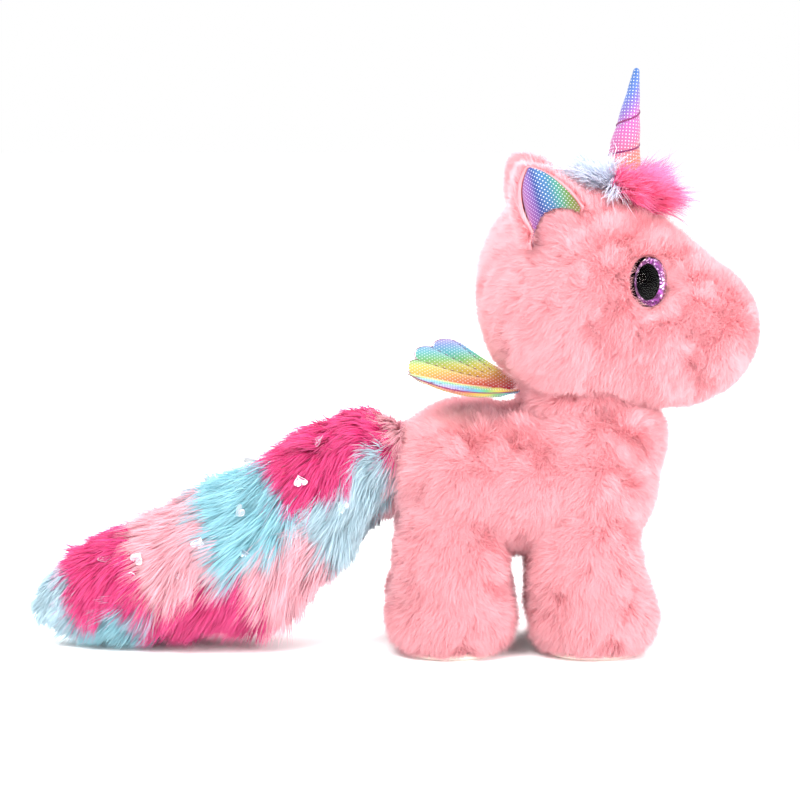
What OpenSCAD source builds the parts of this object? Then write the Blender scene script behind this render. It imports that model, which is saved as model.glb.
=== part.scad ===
// Winged unicorn plush: short-pile body and head, foil horn, ears and wings,
// and a stuffed tail in bands of long shaggy fur. It stands on z = 0, nose to +X.

/* [Head] */
// Middle of the skull, along the toy
skull_x = 72; // [68:1:76]
// Middle of the skull, above the ground
skull_z = 146; // [142:1:150]
// Skull half length
skull_rx = 41; // [38:1:43]
// Skull half width
skull_ry = 48; // [44:1:50]
// Skull half height
skull_rz = 47; // [44:1:49]
// Tip of the nose, along the toy
nose_x = 148.6; // [140:0.1:152]
// Middle of the muzzle, above the ground
muzzle_z = 131; // [128:1:134]
// Muzzle half length
muzzle_rx = 36; // [32:1:38]
// Muzzle half width
muzzle_ry = 32; // [30:1:36]
// Muzzle half height
muzzle_rz = 33; // [30:1:35]
// Width of the panel that runs over the face and crown
gusset_w = 30; // [20:1:40]

/* [Torso] */
// Middle of the rump, along the toy
rump_x = 26; // [24:1:28]
// Middle of the chest, along the toy
chest_x = 75; // [73:1:77]
// Rump and chest centres, above the ground
torso_z = 68; // [66:1:70]
// Torso half width
torso_ry = 42; // [38:1:44]
// Torso half height
torso_rz = 31; // [29:1:32]
// Half length of the rump's curve
rump_rx = 33; // [31:1:34]
// Half length of the chest's curve
chest_rx = 31; // [29:1:32]
// Thickness of the plush: its knitted backing and the pile pressed down
plush_t = 4; // [3:0.5:5]
// Width of the belly panel
belly_w = 30; // [24:1:36]

/* [Neck] */
// Radius of the neck's ball, which both neck movements turn on
neck_r = 30; // [27:1:31]
// Middle of the neck's ball, along the toy
neck_x = 74; // [72:1:76]
// Middle of the neck's ball, above the ground
neck_z = 122; // [120:1:124]
// Height of the seam between the neck and the torso
neck_seam_z = 98; // [96:0.5:99]

/* [Legs] */
// Middle of the rear hips, along the toy
rear_x = 20; // [19:0.5:21]
// Middle of the front hips, along the toy
front_x = 77.5; // [77:0.5:79]
// Height of the hips
hip_z = 44; // [42:1:46]
// Radius of a leg where it turns in the torso
hip_r = 24; // [22:1:24]
// Middle of a leg, out from the toy's centre line
leg_y = 22.5; // [22:0.5:23]
// Width of a leg across the toy
leg_w = 41; // [36:1:42]
// Height of the foot's widest point
foot_z = 15; // [13:1:17]
// Length of a felt sole
sole_l = 34; // [30:1:36]
// Width of a felt sole
sole_w = 28; // [24:1:30]
// Thickness of a felt sole
sole_t = 2.5; // [2:0.5:3]

/* [Eyes] */
// Diameter of an eye
eye_d = 20; // [18:0.5:21]
// Middle of an eye, along the toy
eye_x = 101; // [98:1:103]
// Middle of an eye, above the ground
eye_z = 156; // [153:1:158]
// Turn of an eye from sideways towards the nose
eye_turn = 44; // [34:1:46]
// Tilt of an eye's axis down from upright
eye_tilt = 86; // [82:1:90]
// Diameter of the black pupil
pupil_d = 14.6; // [12:0.2:16]
// Diameter of the eye's post
post_d = 5; // [4:0.5:6]

/* [Ears] */
// Height of an ear
ear_h = 36; // [32:1:40]
// Width of an ear's leaf before it is cupped
ear_w = 29; // [24:1:32]
// Radius that an ear is cupped to
ear_cup = 14; // [12:0.5:16]
// Turn of an ear's hollow from sideways towards the nose
ear_turn = 32; // [20:1:45]
// Lean of an ear's tip out from upright
ear_lean = 16; // [8:1:24]

/* [Horn] */
// Height of the horn
horn_h = 48; // [42:1:50]
// Radius of the horn at its root
horn_r = 8.6; // [7:0.2:9.5]
// Forward lean of the horn
horn_lean = 8; // [4:1:12]
// Rise of the wrapped thread in one turn
thread_pitch = 13; // [11:0.5:16]
// Thickness of the wrapped thread
thread_d = 0.9; // [0.6:0.1:1.2]

/* [Wings] */
// Length of the longest feather
feather_l = 33; // [30:1:38]
// Half width of a feather at its round end
feather_r = 8; // [6:0.5:9]
// Lift of the right wing
wing_lift_right = 6; // [4:1:16]
// Lift of the left wing
wing_lift_left = 30; // [18:1:34]
// Rise of both wings towards the rear
wing_pitch = 8; // [6:1:14]
// Thickness of a wing's batting
batting_t = 2; // [1.5:0.5:3]
// Thickness of the foil cloth
foil_t = 0.6; // [0.4:0.1:0.8]

/* [Tail] */
// Radius of the tail's root, where it is sewn to the rump
root_r = 13; // [11:0.5:13]
// Share of the tail's radius that is stuffing under the fur
core = 0.5; // [0.4:0.05:0.6]
// Length of a heart sequin
sequin_l = 5; // [4:0.5:6]
// Thickness of a heart sequin
sequin_t = 0.4; // [0.3:0.1:0.6]

/* [Hidden] */
facets = 24;
gap = 0.3;               // running clearance between parts that move on each other
far = 400;               // size of the blocks that cut parts off level
muzzle_x = nose_x - muzzle_rx;
eye_seat_y = 0.67 * skull_ry;   // an eye sits well inside the skull's half width
eye_plate_t = 1;         // thickness of the plate that carries an eye's post
eye_print_t = 0.6;       // thickness of the pupil and the glitter ring
lens_r = 12.5;           // radius of a lens's dome
lens_rise = 5.6;         // height of a lens's dome over the plate
hip_clear = 1.6;         // room for a leg's fuller foot to pass under the torso
post_l = 14;             // length of an eye's post behind its plate
washer_d = 15;
washer_t = 1.6;
washer_seat = 10;        // depth of the locking washer behind the eye's plate
ear_low = 14;            // length of an ear below its middle
ear_seat = [57.5, 33, 180];
ear_plush_t = 3.4;
ear_lining_t = 0.8;
ear_clear = 1.2;         // room between an ear's low edge and the head
web_y = 1.2;             // half thickness of the torso between a left and a right leg
horn_x = 88.5;
horn_z = 189.5;
horn_tip_r = 1;
thread_start = -130;     // turn of the thread's lower end
thread_steps = 24;       // rings of the thread's tube in one turn
wing_root = [43, 13, 106];
// Feathers of a wing: turn out from straight back, and share of the full length
feathers = [[3, 1], [22, 0.98], [42, 0.92]];
root_x = -4;             // the tail's pivot
root_z = 74;
seam_k = -0.25;          // the seam between the upper and lower fur runs below the middle
seam_half = 0.006;       // half the slit at that seam, in half heights
past = 1.3;              // how far the cuts reach past the fur, in half heights
SIDES = ["left", "right"];
ENDS = ["front", "rear"];

// Stations down the tail: x, z, half height, half width, slope of the centre line
tail_stations = [
  [ -14, 72, 15, 15, 38],
  [ -25, 64, 25, 26, 38],
  [ -42, 50, 33, 31, 32],
  [ -60, 41, 36, 33, 22],
  [ -80, 34.5, 31.5, 31, 18],
  [-103, 28, 26, 26, 14],
  [-121, 23.5, 21, 20, 12],
  [-135, 19.5, 15, 14, 14],
  [-146.9, 16, 4, 5, 16]
];
tail_top_cuts = [-9, -18, -54, -81, -110, -139];
tail_under_cuts = [-19, -38, -68, -104, -139];
top_colors = ["#f9c6d0", "#f0468f", "#a5e3ea", "#f9c6d0", "#f0468f"];
under_colors = ["#bfe9f2", "#f9c6d0", "#f0468f", "#a5e3ea"];

// Heart sequins: x on the tail's centre line, and turn round the tail from its top (+ is left)
sequins = [
  [-22, -40], [-46, -18], [-33, -62], [-58, -58], [-78, -66], [-62, -84], [-44, -88], [-88, -88],
  [-108, -78], [-104, -60], [-27, -100], [-118, -50], [-30, 30], [-52, 62], [-70, 28], [-92, 50],
  [-112, 74], [-40, 96], [-76, 92], [-124, 20]
];

function leg_x(end) = end == "front" ? front_x : rear_x;
function side_y(side) = side == "left" ? 1 : -1;
function station(k) = [for (s = tail_stations) [s[0], s[k]]];
function tail_z(x) = lookup(x, station(1));
function tail_up(x) = lookup(x, station(2));
function tail_out(x) = lookup(x, station(3));
function tail_slope(x) = lookup(x, station(4));

// Shared forms

module ellipsoid(c, r) translate(c) scale(r) sphere(r = 1, $fn = facets);

module head_form(inset = 0) hull() {
  ellipsoid([skull_x, 0, skull_z], [skull_rx - inset, skull_ry - inset, skull_rz - inset]);
  ellipsoid([muzzle_x, 0, muzzle_z], [muzzle_rx - inset, muzzle_ry - inset, muzzle_rz - inset]);
}

module torso_form(inset = 0) hull() {
  ellipsoid([rump_x, 0, torso_z + 1], [rump_rx - inset, torso_ry - inset, torso_rz + 1 - inset]);
  ellipsoid([chest_x, 0, torso_z], [chest_rx - inset, torso_ry - inset, torso_rz - inset]);
}

// A block across the toy between two distances from the centre line
module slab(y0, y1) translate([-far / 2, y0, -far / 4]) cube([far, y1 - y0, far]);

module below(z) translate([-far / 2, -far / 2, z - far]) cube(far);

module above(z) translate([-far / 2, -far / 2, z]) cube(far);

// What the neck, the legs and the tail take out of the torso
module torso_sockets() {
  translate([neck_x, 0, neck_seam_z - gap]) cylinder(r = neck_r, h = 60, $fn = 64);
  for (e = ENDS) for (i = [-1, 1]) translate([leg_x(e), i * (web_y + torso_ry), hip_z]) rotate([90, 0, 0])
    cylinder(r = (hip_r + hip_clear) / cos(15), h = 2 * torso_ry, center = true, $fn = 12);
  translate([root_x, 0, root_z]) sphere(r = root_r + gap, $fn = 64);
}

module neck_ball(r) translate([neck_x, 0, neck_z]) sphere(r = r, $fn = 64);

module on_horn() translate([horn_x, 0, horn_z]) rotate([0, horn_lean, 0]) children();

module on_eye(side) translate([eye_x, side_y(side) * eye_seat_y, eye_z])
  rotate([0, 0, side_y(side) * (90 - eye_turn)]) rotate([0, eye_tilt, 0]) children();

// Torso

module torso_shell() difference() {
  torso_form();
  torso_form(plush_t);
  torso_sockets();
}

module belly_zone() translate([-60, -belly_w / 2, 0]) cube([260, belly_w, torso_z - 6]);

module torso_side(side) color("#ffb7c0") difference() {
  torso_shell();
  belly_zone();
  if (side == "left") slab(-100, 0); else slab(0, 100);
}

module belly_panel() color("#ffb0ba") intersection() {
  torso_shell();
  belly_zone();
}

module torso_stuffing() color("#f4f2ee") difference() {
  torso_form(plush_t);
  torso_sockets();
}

// Neck

module neck_collar() color("#ff9fae") difference() {
  neck_ball(neck_r);
  neck_ball(neck_r - plush_t);
  below(neck_seam_z);
  above(neck_z - 2);
}

module neck_stuffing() color("#f4f2ee") difference() {
  neck_ball(neck_r - plush_t);
  below(neck_seam_z);
}

// Head

module eye_pockets() for (s = SIDES) on_eye(s) {
  translate([0, 0, -eye_plate_t]) cylinder(d = eye_d + 0.1, h = 12, $fn = 64);
  translate([0, 0, -post_l - 0.1]) cylinder(d = post_d + 0.1, h = post_l, $fn = 64);
}

module washer_pockets() for (s = SIDES) on_eye(s)
  translate([0, 0, -washer_seat - 0.1]) cylinder(d = washer_d + 0.2, h = 6, $fn = 64);

module head_shell() difference() {
  head_form();
  head_form(plush_t);
  neck_ball(neck_r + gap);
  on_horn() sphere(r = horn_r + gap, $fn = 64);
  eye_pockets();
}

module head_side(side) color("#ffbac2") difference() {
  head_shell();
  if (side == "left") slab(-100, gusset_w / 2); else slab(-gusset_w / 2, 100);
}

module head_gusset() color("#ffc0c8") intersection() {
  head_shell();
  slab(-gusset_w / 2, gusset_w / 2);
}

module head_stuffing() color("#f4f2ee") difference() {
  head_form(plush_t);
  neck_ball(neck_r + gap);
  on_horn() sphere(r = horn_r + gap, $fn = 64);
  eye_pockets();
  washer_pockets();
}

// Eyes: a post and plate, a glitter ring round a black pupil, and a clear lens over both

module eye_post(side) color("#17131a") on_eye(side) {
  translate([0, 0, -eye_plate_t]) cylinder(d = eye_d, h = eye_plate_t, $fn = 64);
  translate([0, 0, -post_l]) cylinder(d = post_d, h = post_l - eye_plate_t, $fn = 32);
}

module eye_glitter(side) color("#a8419f") on_eye(side) difference() {
  cylinder(d = eye_d, h = eye_print_t, $fn = 64);
  translate([0, 0, -1]) cylinder(d = pupil_d, h = 3, $fn = 64);
}

module eye_pupil(side) color("#0c0a0e") on_eye(side)
  cylinder(d = pupil_d, h = eye_print_t, $fn = 64);

module eye_lens(side) color("#e8e4ee", 0.4) on_eye(side) intersection() {
  translate([0, 0, eye_print_t]) cylinder(d = eye_d, h = lens_rise, $fn = 64);
  translate([0, 0, lens_rise - lens_r]) sphere(r = lens_r, $fn = 64);
}

module eye_washers() color("#d8d8da") for (s = SIDES) on_eye(s) translate([0, 0, -washer_seat]) difference() {
  cylinder(d = washer_d, h = washer_t, $fn = 64);
  translate([0, 0, -1]) cylinder(d = post_d + 0.1, h = 4, $fn = 32);
}

// Forelock: one half collar of long pile before the horn and one behind it

module tuft(turn, reach, top) difference() {
  on_horn() rotate([0, 0, turn]) rotate_extrude(angle = 180, $fn = 48) polygon([
    [horn_r + 2.4, -8], [reach, -14], [reach + 3, -4], [reach - 2, top - 3], [horn_r + 6, top],
    [horn_r + 3.2, 3]
  ]);
  head_form();
}

module forelock_pink() color("#f76fa6") tuft(-90, 25, 9);

module forelock_white() color("#e8f2fa") tuft(90, 20, 13);

// Ears: a cupped leaf of plush with a foil lining in its hollow

module on_ear(side) mirror([0, side == "left" ? 0 : 1, 0]) translate(ear_seat)
  rotate([-ear_lean, 0, 0]) rotate([0, 0, 90 - ear_turn]) children();

// The leaf is where two circles cross, cut off level at its low end
module ear_leaf() {
  tip = ear_h - ear_low;
  bend = (tip * tip + ear_w * ear_w / 4) / ear_w;
  rotate([90, 0, 90]) linear_extrude(height = 60, center = true) intersection() {
    translate([ear_w / 2 - bend, 0]) circle(r = bend, $fn = 96);
    translate([bend - ear_w / 2, 0]) circle(r = bend, $fn = 96);
    translate([-ear_w, -ear_low]) square([2 * ear_w, ear_h]);
  }
}

module ear_layer(inner, outer) intersection() {
  ear_leaf();
  translate([ear_cup - 5, 0, -30]) difference() {
    cylinder(r = outer, h = 80, $fn = 64);
    translate([0, 0, -1]) cylinder(r = inner, h = 82, $fn = 64);
    translate([0, -50, -1]) cube([100, 100, 82]);
  }
}

module ear_plush(side) color("#ffbac2") difference() {
  on_ear(side) ear_layer(ear_cup, ear_cup + ear_plush_t);
  head_form(-ear_clear);
}

module ear_lining(side) color("#b06fd0") difference() {
  on_ear(side) ear_layer(ear_cup - ear_lining_t, ear_cup);
  head_form(-ear_clear);
}

// Horn: a foil cone over stuffing, wrapped by a thread

module horn_cover() color("#c77ad6") on_horn() difference() {
  cylinder(r1 = horn_r, r2 = horn_tip_r, h = horn_h, $fn = 64);
  translate([0, 0, -0.01]) cylinder(r1 = horn_r - foil_t, r2 = 0.3, h = horn_h - 3, $fn = 64);
}

module horn_stuffing() color("#f4f2ee") on_horn() {
  cylinder(r1 = horn_r - foil_t - 0.05, r2 = 0.25, h = horn_h - 3.1, $fn = 64);
  difference() {
    sphere(r = horn_r - foil_t - 0.05, $fn = 64);
    above(0);
  }
}

// Points on one ring of the thread's tube, at height z up the horn
function horn_at(z) = horn_r + (horn_tip_r - horn_r) * z / horn_h;
function thread_ring(z) = let (a = 360 * z / thread_pitch + thread_start, r = horn_at(z) + thread_d / 2 + 0.05)
  [for (k = [0 : 5]) let (b = 60 * k)
    [(r + thread_d / 2 * cos(b)) * cos(a), (r + thread_d / 2 * cos(b)) * sin(a), z + thread_d / 2 * sin(b)]];

module horn_thread() color("#7c1f5c") on_horn() {
  rise = horn_h - 7;
  n = round(thread_steps * rise / thread_pitch);
  points = [for (i = [0 : n]) each thread_ring(1.5 + rise * i / n)];
  faces = concat(
    [[for (k = [5 : -1 : 0]) k]],
    [for (i = [0 : n - 1]) for (k = [0 : 5])
      [6 * i + k, 6 * i + (k + 1) % 6, 6 * (i + 1) + (k + 1) % 6, 6 * (i + 1) + k]],
    [[for (k = [0 : 5]) 6 * n + k]]
  );
  polyhedron(points = points, faces = faces);
}

// Wings: three feathers in two layers of foil cloth with batting between

module wing_outline(trim = 0) for (f = feathers) rotate(180 - f[0]) hull() {
  circle(r = 5 - trim, $fn = 32);
  translate([feather_l * f[1], 0]) circle(r = feather_r * f[1] - trim, $fn = 32);
}

module on_wing(side) mirror([0, side == "left" ? 0 : 1, 0]) translate(wing_root)
  rotate([side == "left" ? wing_lift_left : wing_lift_right, 0, 0]) rotate([0, wing_pitch, 0]) children();

module wing_cloth(side, z) on_wing(side) translate([0, 0, z]) linear_extrude(height = foil_t) wing_outline();

module wing_top(side) color("#8fd6e8") wing_cloth(side, batting_t / 2);

module wing_under(side) color("#f7a35c") wing_cloth(side, -batting_t / 2 - foil_t);

module wing_batting(side) color("#f4f2ee") on_wing(side)
  linear_extrude(height = batting_t, center = true) wing_outline(1.5);

// Legs

module leg_form(inset = 0) hull() {
  translate([0, 0, hip_z]) rotate([90, 0, 0]) {
    cylinder(r = hip_r - inset, h = leg_w - 14 - inset, center = true, $fn = facets);
    cylinder(r = hip_r - 6 - inset, h = leg_w - 2 * inset, center = true, $fn = facets);
  }
  ellipsoid([0.5, 0, foot_z], [hip_r + 0.5 - inset, leg_w / 2 - inset, foot_z + 3 - inset]);
}

module above_sole() translate([-60, -60, sole_t]) cube([120, 120, 100]);

module on_leg(end, side) translate([leg_x(end), side_y(side) * leg_y, 0]) children();

module leg(end, side) color("#ffb3bc") on_leg(end, side) difference() {
  intersection() {
    leg_form();
    above_sole();
  }
  intersection() {
    leg_form(plush_t);
    above_sole();
  }
}

module leg_stuffing(end, side) color("#f4f2ee") on_leg(end, side) intersection() {
  leg_form(plush_t);
  above_sole();
}

module sole(end, side) color("#f6efe4") on_leg(end, side) linear_extrude(height = sole_t) {
  for (i = [-1, 1]) translate([i * (sole_l - sole_w) / 2, 0]) circle(d = sole_w, $fn = 64);
  square([sole_l - sole_w, sole_w], center = true);
}

// Tail

module tail_plate(s, share) translate([s[0], 0, s[1]]) rotate([0, -90 - s[4], 0])
  scale([s[2] * share, s[3] * share, 1]) cylinder(r = 1, h = 0.6, $fn = facets);

module tail_form(share = 1) for (i = [0 : len(tail_stations) - 2]) hull() {
  tail_plate(tail_stations[i], share);
  tail_plate(tail_stations[i + 1], share);
}

// A point on the cut across the tail at x, k half heights up from the centre line
function cut_point(x, k) = [x - k * tail_up(x) * sin(tail_slope(x)), tail_z(x) + k * tail_up(x) * cos(tail_slope(x))];

// The tail between two cuts, from k0 to k1 half heights
module tail_zone(x0, x1, k0, k1) {
  steps = concat([x0], [for (x = [0 : -4 : -160]) if (x < x0 && x > x1) x], [x1]);
  rotate([90, 0, 0]) linear_extrude(height = 120, center = true) polygon(concat(
    [for (x = steps) cut_point(x, k0)],
    [for (i = [len(steps) - 1 : -1 : 0]) cut_point(steps[i], k1)]
  ));
}

module tail_fur(x0, x1, k0, k1) difference() {
  intersection() {
    tail_form();
    tail_zone(x0, x1, k0, k1);
  }
  tail_form(core);
  tail_socket();
}

module tail_socket() translate([root_x, 0, root_z]) sphere(r = root_r + gap, $fn = facets);

module tail_top(i) color(top_colors[i - 1])
  tail_fur(tail_top_cuts[i - 1], tail_top_cuts[i], seam_k + seam_half, past);

module tail_under(i) color(under_colors[i - 1])
  tail_fur(tail_under_cuts[i - 1], tail_under_cuts[i], -past, seam_k - seam_half);

module tail_tip() color("#bfe9f2")
  tail_fur(tail_top_cuts[len(tail_top_cuts) - 1], tail_stations[len(tail_stations) - 1][0] - 5, -2, 2);

module tail_stuffing() color("#f4f2ee") difference() {
  tail_form(core);
  tail_socket();
}

module tail_root() color("#fbb9c4") translate([root_x, 0, root_z]) sphere(r = root_r, $fn = 64);

module heart() linear_extrude(height = sequin_t) {
  lobe = sequin_l * 0.27;
  for (i = [-1, 1]) translate([i * lobe * 0.95, lobe]) circle(r = lobe, $fn = 32);
  polygon([[-lobe * 1.8, lobe * 0.5], [0, -sequin_l * 0.5], [lobe * 1.8, lobe * 0.5], [0, lobe * 1.5]]);
}

module tail_sequins() color("#e4e6ea") for (q = sequins)
  translate([q[0], 0, tail_z(q[0])]) rotate([0, -90 - tail_slope(q[0]), 0])
    translate([cos(q[1]) * tail_up(q[0]), sin(q[1]) * tail_out(q[0]), 0])
      rotate([0, 0, q[1]]) rotate([0, 90, 0]) translate([0, 0, -0.2]) heart();

torso_side("left");  // torso_left
torso_side("right");  // torso_right
belly_panel();
torso_stuffing();
neck_collar();
neck_stuffing();
head_side("left");  // head_left
head_side("right");  // head_right
head_gusset();
head_stuffing();
eye_washers();
forelock_pink();
forelock_white();
horn_cover();
horn_stuffing();
horn_thread();
tail_root();
tail_stuffing();
tail_tip();
tail_sequins();
for (s = SIDES) {
  eye_lens(s);
  eye_pupil(s);
  eye_glitter(s);
  eye_post(s);
  ear_plush(s);
  ear_lining(s);
  wing_top(s);
  wing_under(s);
  wing_batting(s);
  for (e = ENDS) {
    leg(e, s);
    leg_stuffing(e, s);
    sole(e, s);
  }
}
for (i = [1 : len(tail_top_cuts) - 1])
  tail_top(i);
for (i = [1 : len(tail_under_cuts) - 1])
  tail_under(i);
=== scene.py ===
import math

import bmesh
import bpy
import numpy as np
from mathutils import Matrix, Vector, kdtree


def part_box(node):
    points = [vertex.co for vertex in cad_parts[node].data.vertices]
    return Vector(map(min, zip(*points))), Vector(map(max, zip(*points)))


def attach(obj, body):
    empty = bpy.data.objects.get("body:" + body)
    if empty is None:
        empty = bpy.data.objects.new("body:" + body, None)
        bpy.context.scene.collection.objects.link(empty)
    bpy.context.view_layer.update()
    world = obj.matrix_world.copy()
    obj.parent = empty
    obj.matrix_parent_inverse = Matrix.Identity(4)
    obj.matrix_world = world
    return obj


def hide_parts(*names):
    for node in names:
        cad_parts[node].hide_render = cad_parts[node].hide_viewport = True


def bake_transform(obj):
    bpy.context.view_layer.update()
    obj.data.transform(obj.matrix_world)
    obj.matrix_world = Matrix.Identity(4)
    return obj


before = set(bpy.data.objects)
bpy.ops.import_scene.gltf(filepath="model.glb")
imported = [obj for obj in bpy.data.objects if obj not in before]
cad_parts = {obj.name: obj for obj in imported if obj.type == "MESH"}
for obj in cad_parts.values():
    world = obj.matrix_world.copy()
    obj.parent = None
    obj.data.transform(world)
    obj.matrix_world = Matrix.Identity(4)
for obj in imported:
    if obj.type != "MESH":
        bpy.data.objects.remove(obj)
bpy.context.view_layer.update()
mm = 0.001
sides = {"left": 1, "right": -1}


def linear(hexCode):
    # sRGB hex to the linear values that the shader wants
    values = [int(hexCode[i:i + 2], 16) / 255 for i in (1, 3, 5)]
    return tuple(v / 12.92 if v <= 0.04045 else ((v + 0.055) / 1.055) ** 2.4 for v in values) + (1.0,)


def addNode(tree, kind, links=None, **settings):
    node = tree.nodes.new(kind)
    for key, value in settings.items():
        setattr(node, key, value)
    for socket, value in (links or {}).items():
        if isinstance(value, bpy.types.NodeSocket):
            tree.links.new(value, node.inputs[socket])
        else:
            node.inputs[socket].default_value = value
    return node


def fillRamp(ramp, stops):
    # stops are (place, hex); a new ramp has two stops already
    while len(ramp.elements) < len(stops):
        ramp.elements.new(0.5)
    for element, (place, hexCode) in zip(ramp.elements, sorted(stops)):
        element.position = place
        element.color = linear(hexCode)


def startMaterial(name):
    material = bpy.data.materials.new(name)
    material.use_nodes = True
    tree = material.node_tree
    return material, tree, tree.nodes["Principled BSDF"]


def unit(vectors):
    return vectors / np.maximum(np.linalg.norm(vectors, axis=-1, keepdims=True), 1e-12)


def swirl(points, size, seed, terms=7):
    # smooth vector noise: a few sine waves with wavelengths near size
    rng = np.random.default_rng(seed)
    waves = unit(rng.normal(size=(terms, 3))) * (2 * math.pi / size) * rng.uniform(0.7, 1.4, (terms, 1))
    phases = rng.uniform(0, 2 * math.pi, (terms, 3))
    angles = points @ waves.T
    return np.stack([np.sin(angles + phases[:, k]).sum(1) for k in range(3)], 1) / math.sqrt(terms)


def meshFromTriangles(name, points, triangles):
    mesh = bpy.data.meshes.new(name)
    mesh.vertices.add(len(points))
    mesh.vertices.foreach_set("co", points.astype(np.float32).ravel())
    mesh.loops.add(3 * len(triangles))
    mesh.loops.foreach_set("vertex_index", triangles.astype(np.int32).ravel())
    mesh.polygons.add(len(triangles))
    mesh.polygons.foreach_set("loop_start", np.arange(0, 3 * len(triangles), 3, dtype=np.int32))
    mesh.update(calc_edges=True)
    return mesh


def addPiece(name, mesh, *materials):
    piece = bpy.data.objects.new(name, mesh)
    bpy.context.scene.collection.objects.link(piece)
    for material in materials:
        mesh.materials.append(material)
    return piece


def movePoints(mesh, points):
    mesh.vertices.foreach_set("co", points.astype(np.float32).ravel())
    mesh.update()


def smoothFaces(mesh, crease=None):
    # smooth over every edge that is less sharp than crease degrees
    mesh.polygons.foreach_set("use_smooth", np.ones(len(mesh.polygons), bool))
    if crease:
        mesh.set_sharp_from_angle(angle=math.radians(crease))


def faceOut(mesh, weld=None):
    # closed forms get their faces turned outward, after points nearer than weld are merged
    bm = bmesh.new()
    bm.from_mesh(mesh)
    if weld:
        bmesh.ops.remove_doubles(bm, verts=bm.verts, dist=weld)
    bmesh.ops.recalc_face_normals(bm, faces=bm.faces)
    bm.to_mesh(mesh)
    bm.free()


def setAttribute(mesh, name, values):
    kind = "FLOAT_VECTOR" if values.ndim == 2 else "FLOAT"
    data = mesh.attributes.new(name, kind, "POINT").data
    data.foreach_set("vector" if values.ndim == 2 else "value", values.astype(np.float32).ravel())


def readMesh(mesh):
    points = np.empty(3 * len(mesh.vertices), np.float32)
    mesh.vertices.foreach_get("co", points)
    mesh.calc_loop_triangles()
    triangles = np.empty(3 * len(mesh.loop_triangles), np.int32)
    mesh.loop_triangles.foreach_get("vertices", triangles)
    points, triangles = points.reshape(-1, 3).astype(float), triangles.reshape(-1, 3)
    corners = points[triangles]
    faceNormals = np.cross(corners[:, 1] - corners[:, 0], corners[:, 2] - corners[:, 0])
    normals = np.zeros_like(points)
    for k in range(3):
        np.add.at(normals, triangles[:, k], faceNormals)
    return points, triangles, unit(normals)


def boxOf(*nodes):
    boxes = [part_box(node) for node in nodes]
    low = np.min([b[0] for b in boxes], axis=0)
    high = np.max([b[1] for b in boxes], axis=0)
    return low, high


def settled(obj):
    # the object's mesh with its modifiers applied, and the object gone
    graph = bpy.context.evaluated_depsgraph_get()
    mesh = bpy.data.meshes.new_from_object(obj.evaluated_get(graph))
    bpy.data.objects.remove(obj)
    return mesh


def softForm(name, blobs, voxel, smoothing):
    # stuffed cloth from overlapping rounded masses: (centre, radii, tilt about Y in degrees)
    bm = bmesh.new()
    for centre, radii, tilt in blobs:
        place = Matrix.Translation(centre) @ Matrix.Rotation(math.radians(tilt), 4, "Y")
        bmesh.ops.create_icosphere(bm, subdivisions=4, radius=1, matrix=place @ Matrix.Diagonal((*radii, 1)))
    mesh = bpy.data.meshes.new(name)
    bm.to_mesh(mesh)
    bm.free()
    obj = addPiece(name, mesh)
    remesh = obj.modifiers.new("skin", "REMESH")
    remesh.mode = "VOXEL"
    remesh.voxel_size = voxel
    smooth = obj.modifiers.new("soft", "SMOOTH")
    smooth.factor = 0.5
    smooth.iterations = smoothing
    return settled(obj)


clothSettings = {"pressure": 3.0, "stretch": 25, "bend": 2, "frames": 20}


def puff(mesh, cap):
    # cloth pushed out by its filling, with no point moving further than cap
    before = readMesh(mesh)[0]
    obj = addPiece("puffing", mesh)
    cloth = obj.modifiers.new("cloth", "CLOTH").settings
    cloth.use_pressure = True
    cloth.uniform_pressure_force = clothSettings["pressure"]
    cloth.effector_weights.gravity = 0
    cloth.tension_stiffness = clothSettings["stretch"]
    cloth.bending_stiffness = clothSettings["bend"]
    scene = bpy.context.scene
    for step in range(1, clothSettings["frames"] + 1):
        scene.frame_set(step)
    result = settled(obj)
    scene.frame_set(1)
    moved = readMesh(result)[0] - before
    reach = np.linalg.norm(moved, axis=1, keepdims=True)
    moved *= np.minimum(1, cap / np.maximum(reach, 1e-9))
    movePoints(result, before + moved)
    return result


# Pile: every strand is a tapered ribbon that leaves the cloth upright and then lies over

def scatter(points, triangles, normals, count, rng):
    corners = points[triangles]
    area = np.linalg.norm(np.cross(corners[:, 1] - corners[:, 0], corners[:, 2] - corners[:, 0]), axis=1)
    pick = rng.choice(len(triangles), count, p=area / area.sum())
    u, v = rng.random((2, count))
    flip = u + v > 1
    u[flip], v[flip] = 1 - u[flip], 1 - v[flip]
    share = np.stack([1 - u - v, u, v], 1)[:, :, None]
    return (corners[pick] * share).sum(1), unit((normals[triangles[pick]] * share).sum(1))


def nearestCentres(roots, every, rng):
    # which of a thinned-out set of strands each strand gathers to
    centres = rng.choice(len(roots), max(1, len(roots) // every), replace=False)
    tree = kdtree.KDTree(len(centres))
    for i, centre in enumerate(roots[centres]):
        tree.insert(centre, i)
    tree.balance()
    return centres[np.array([tree.find(root)[1] for root in roots])]


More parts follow.
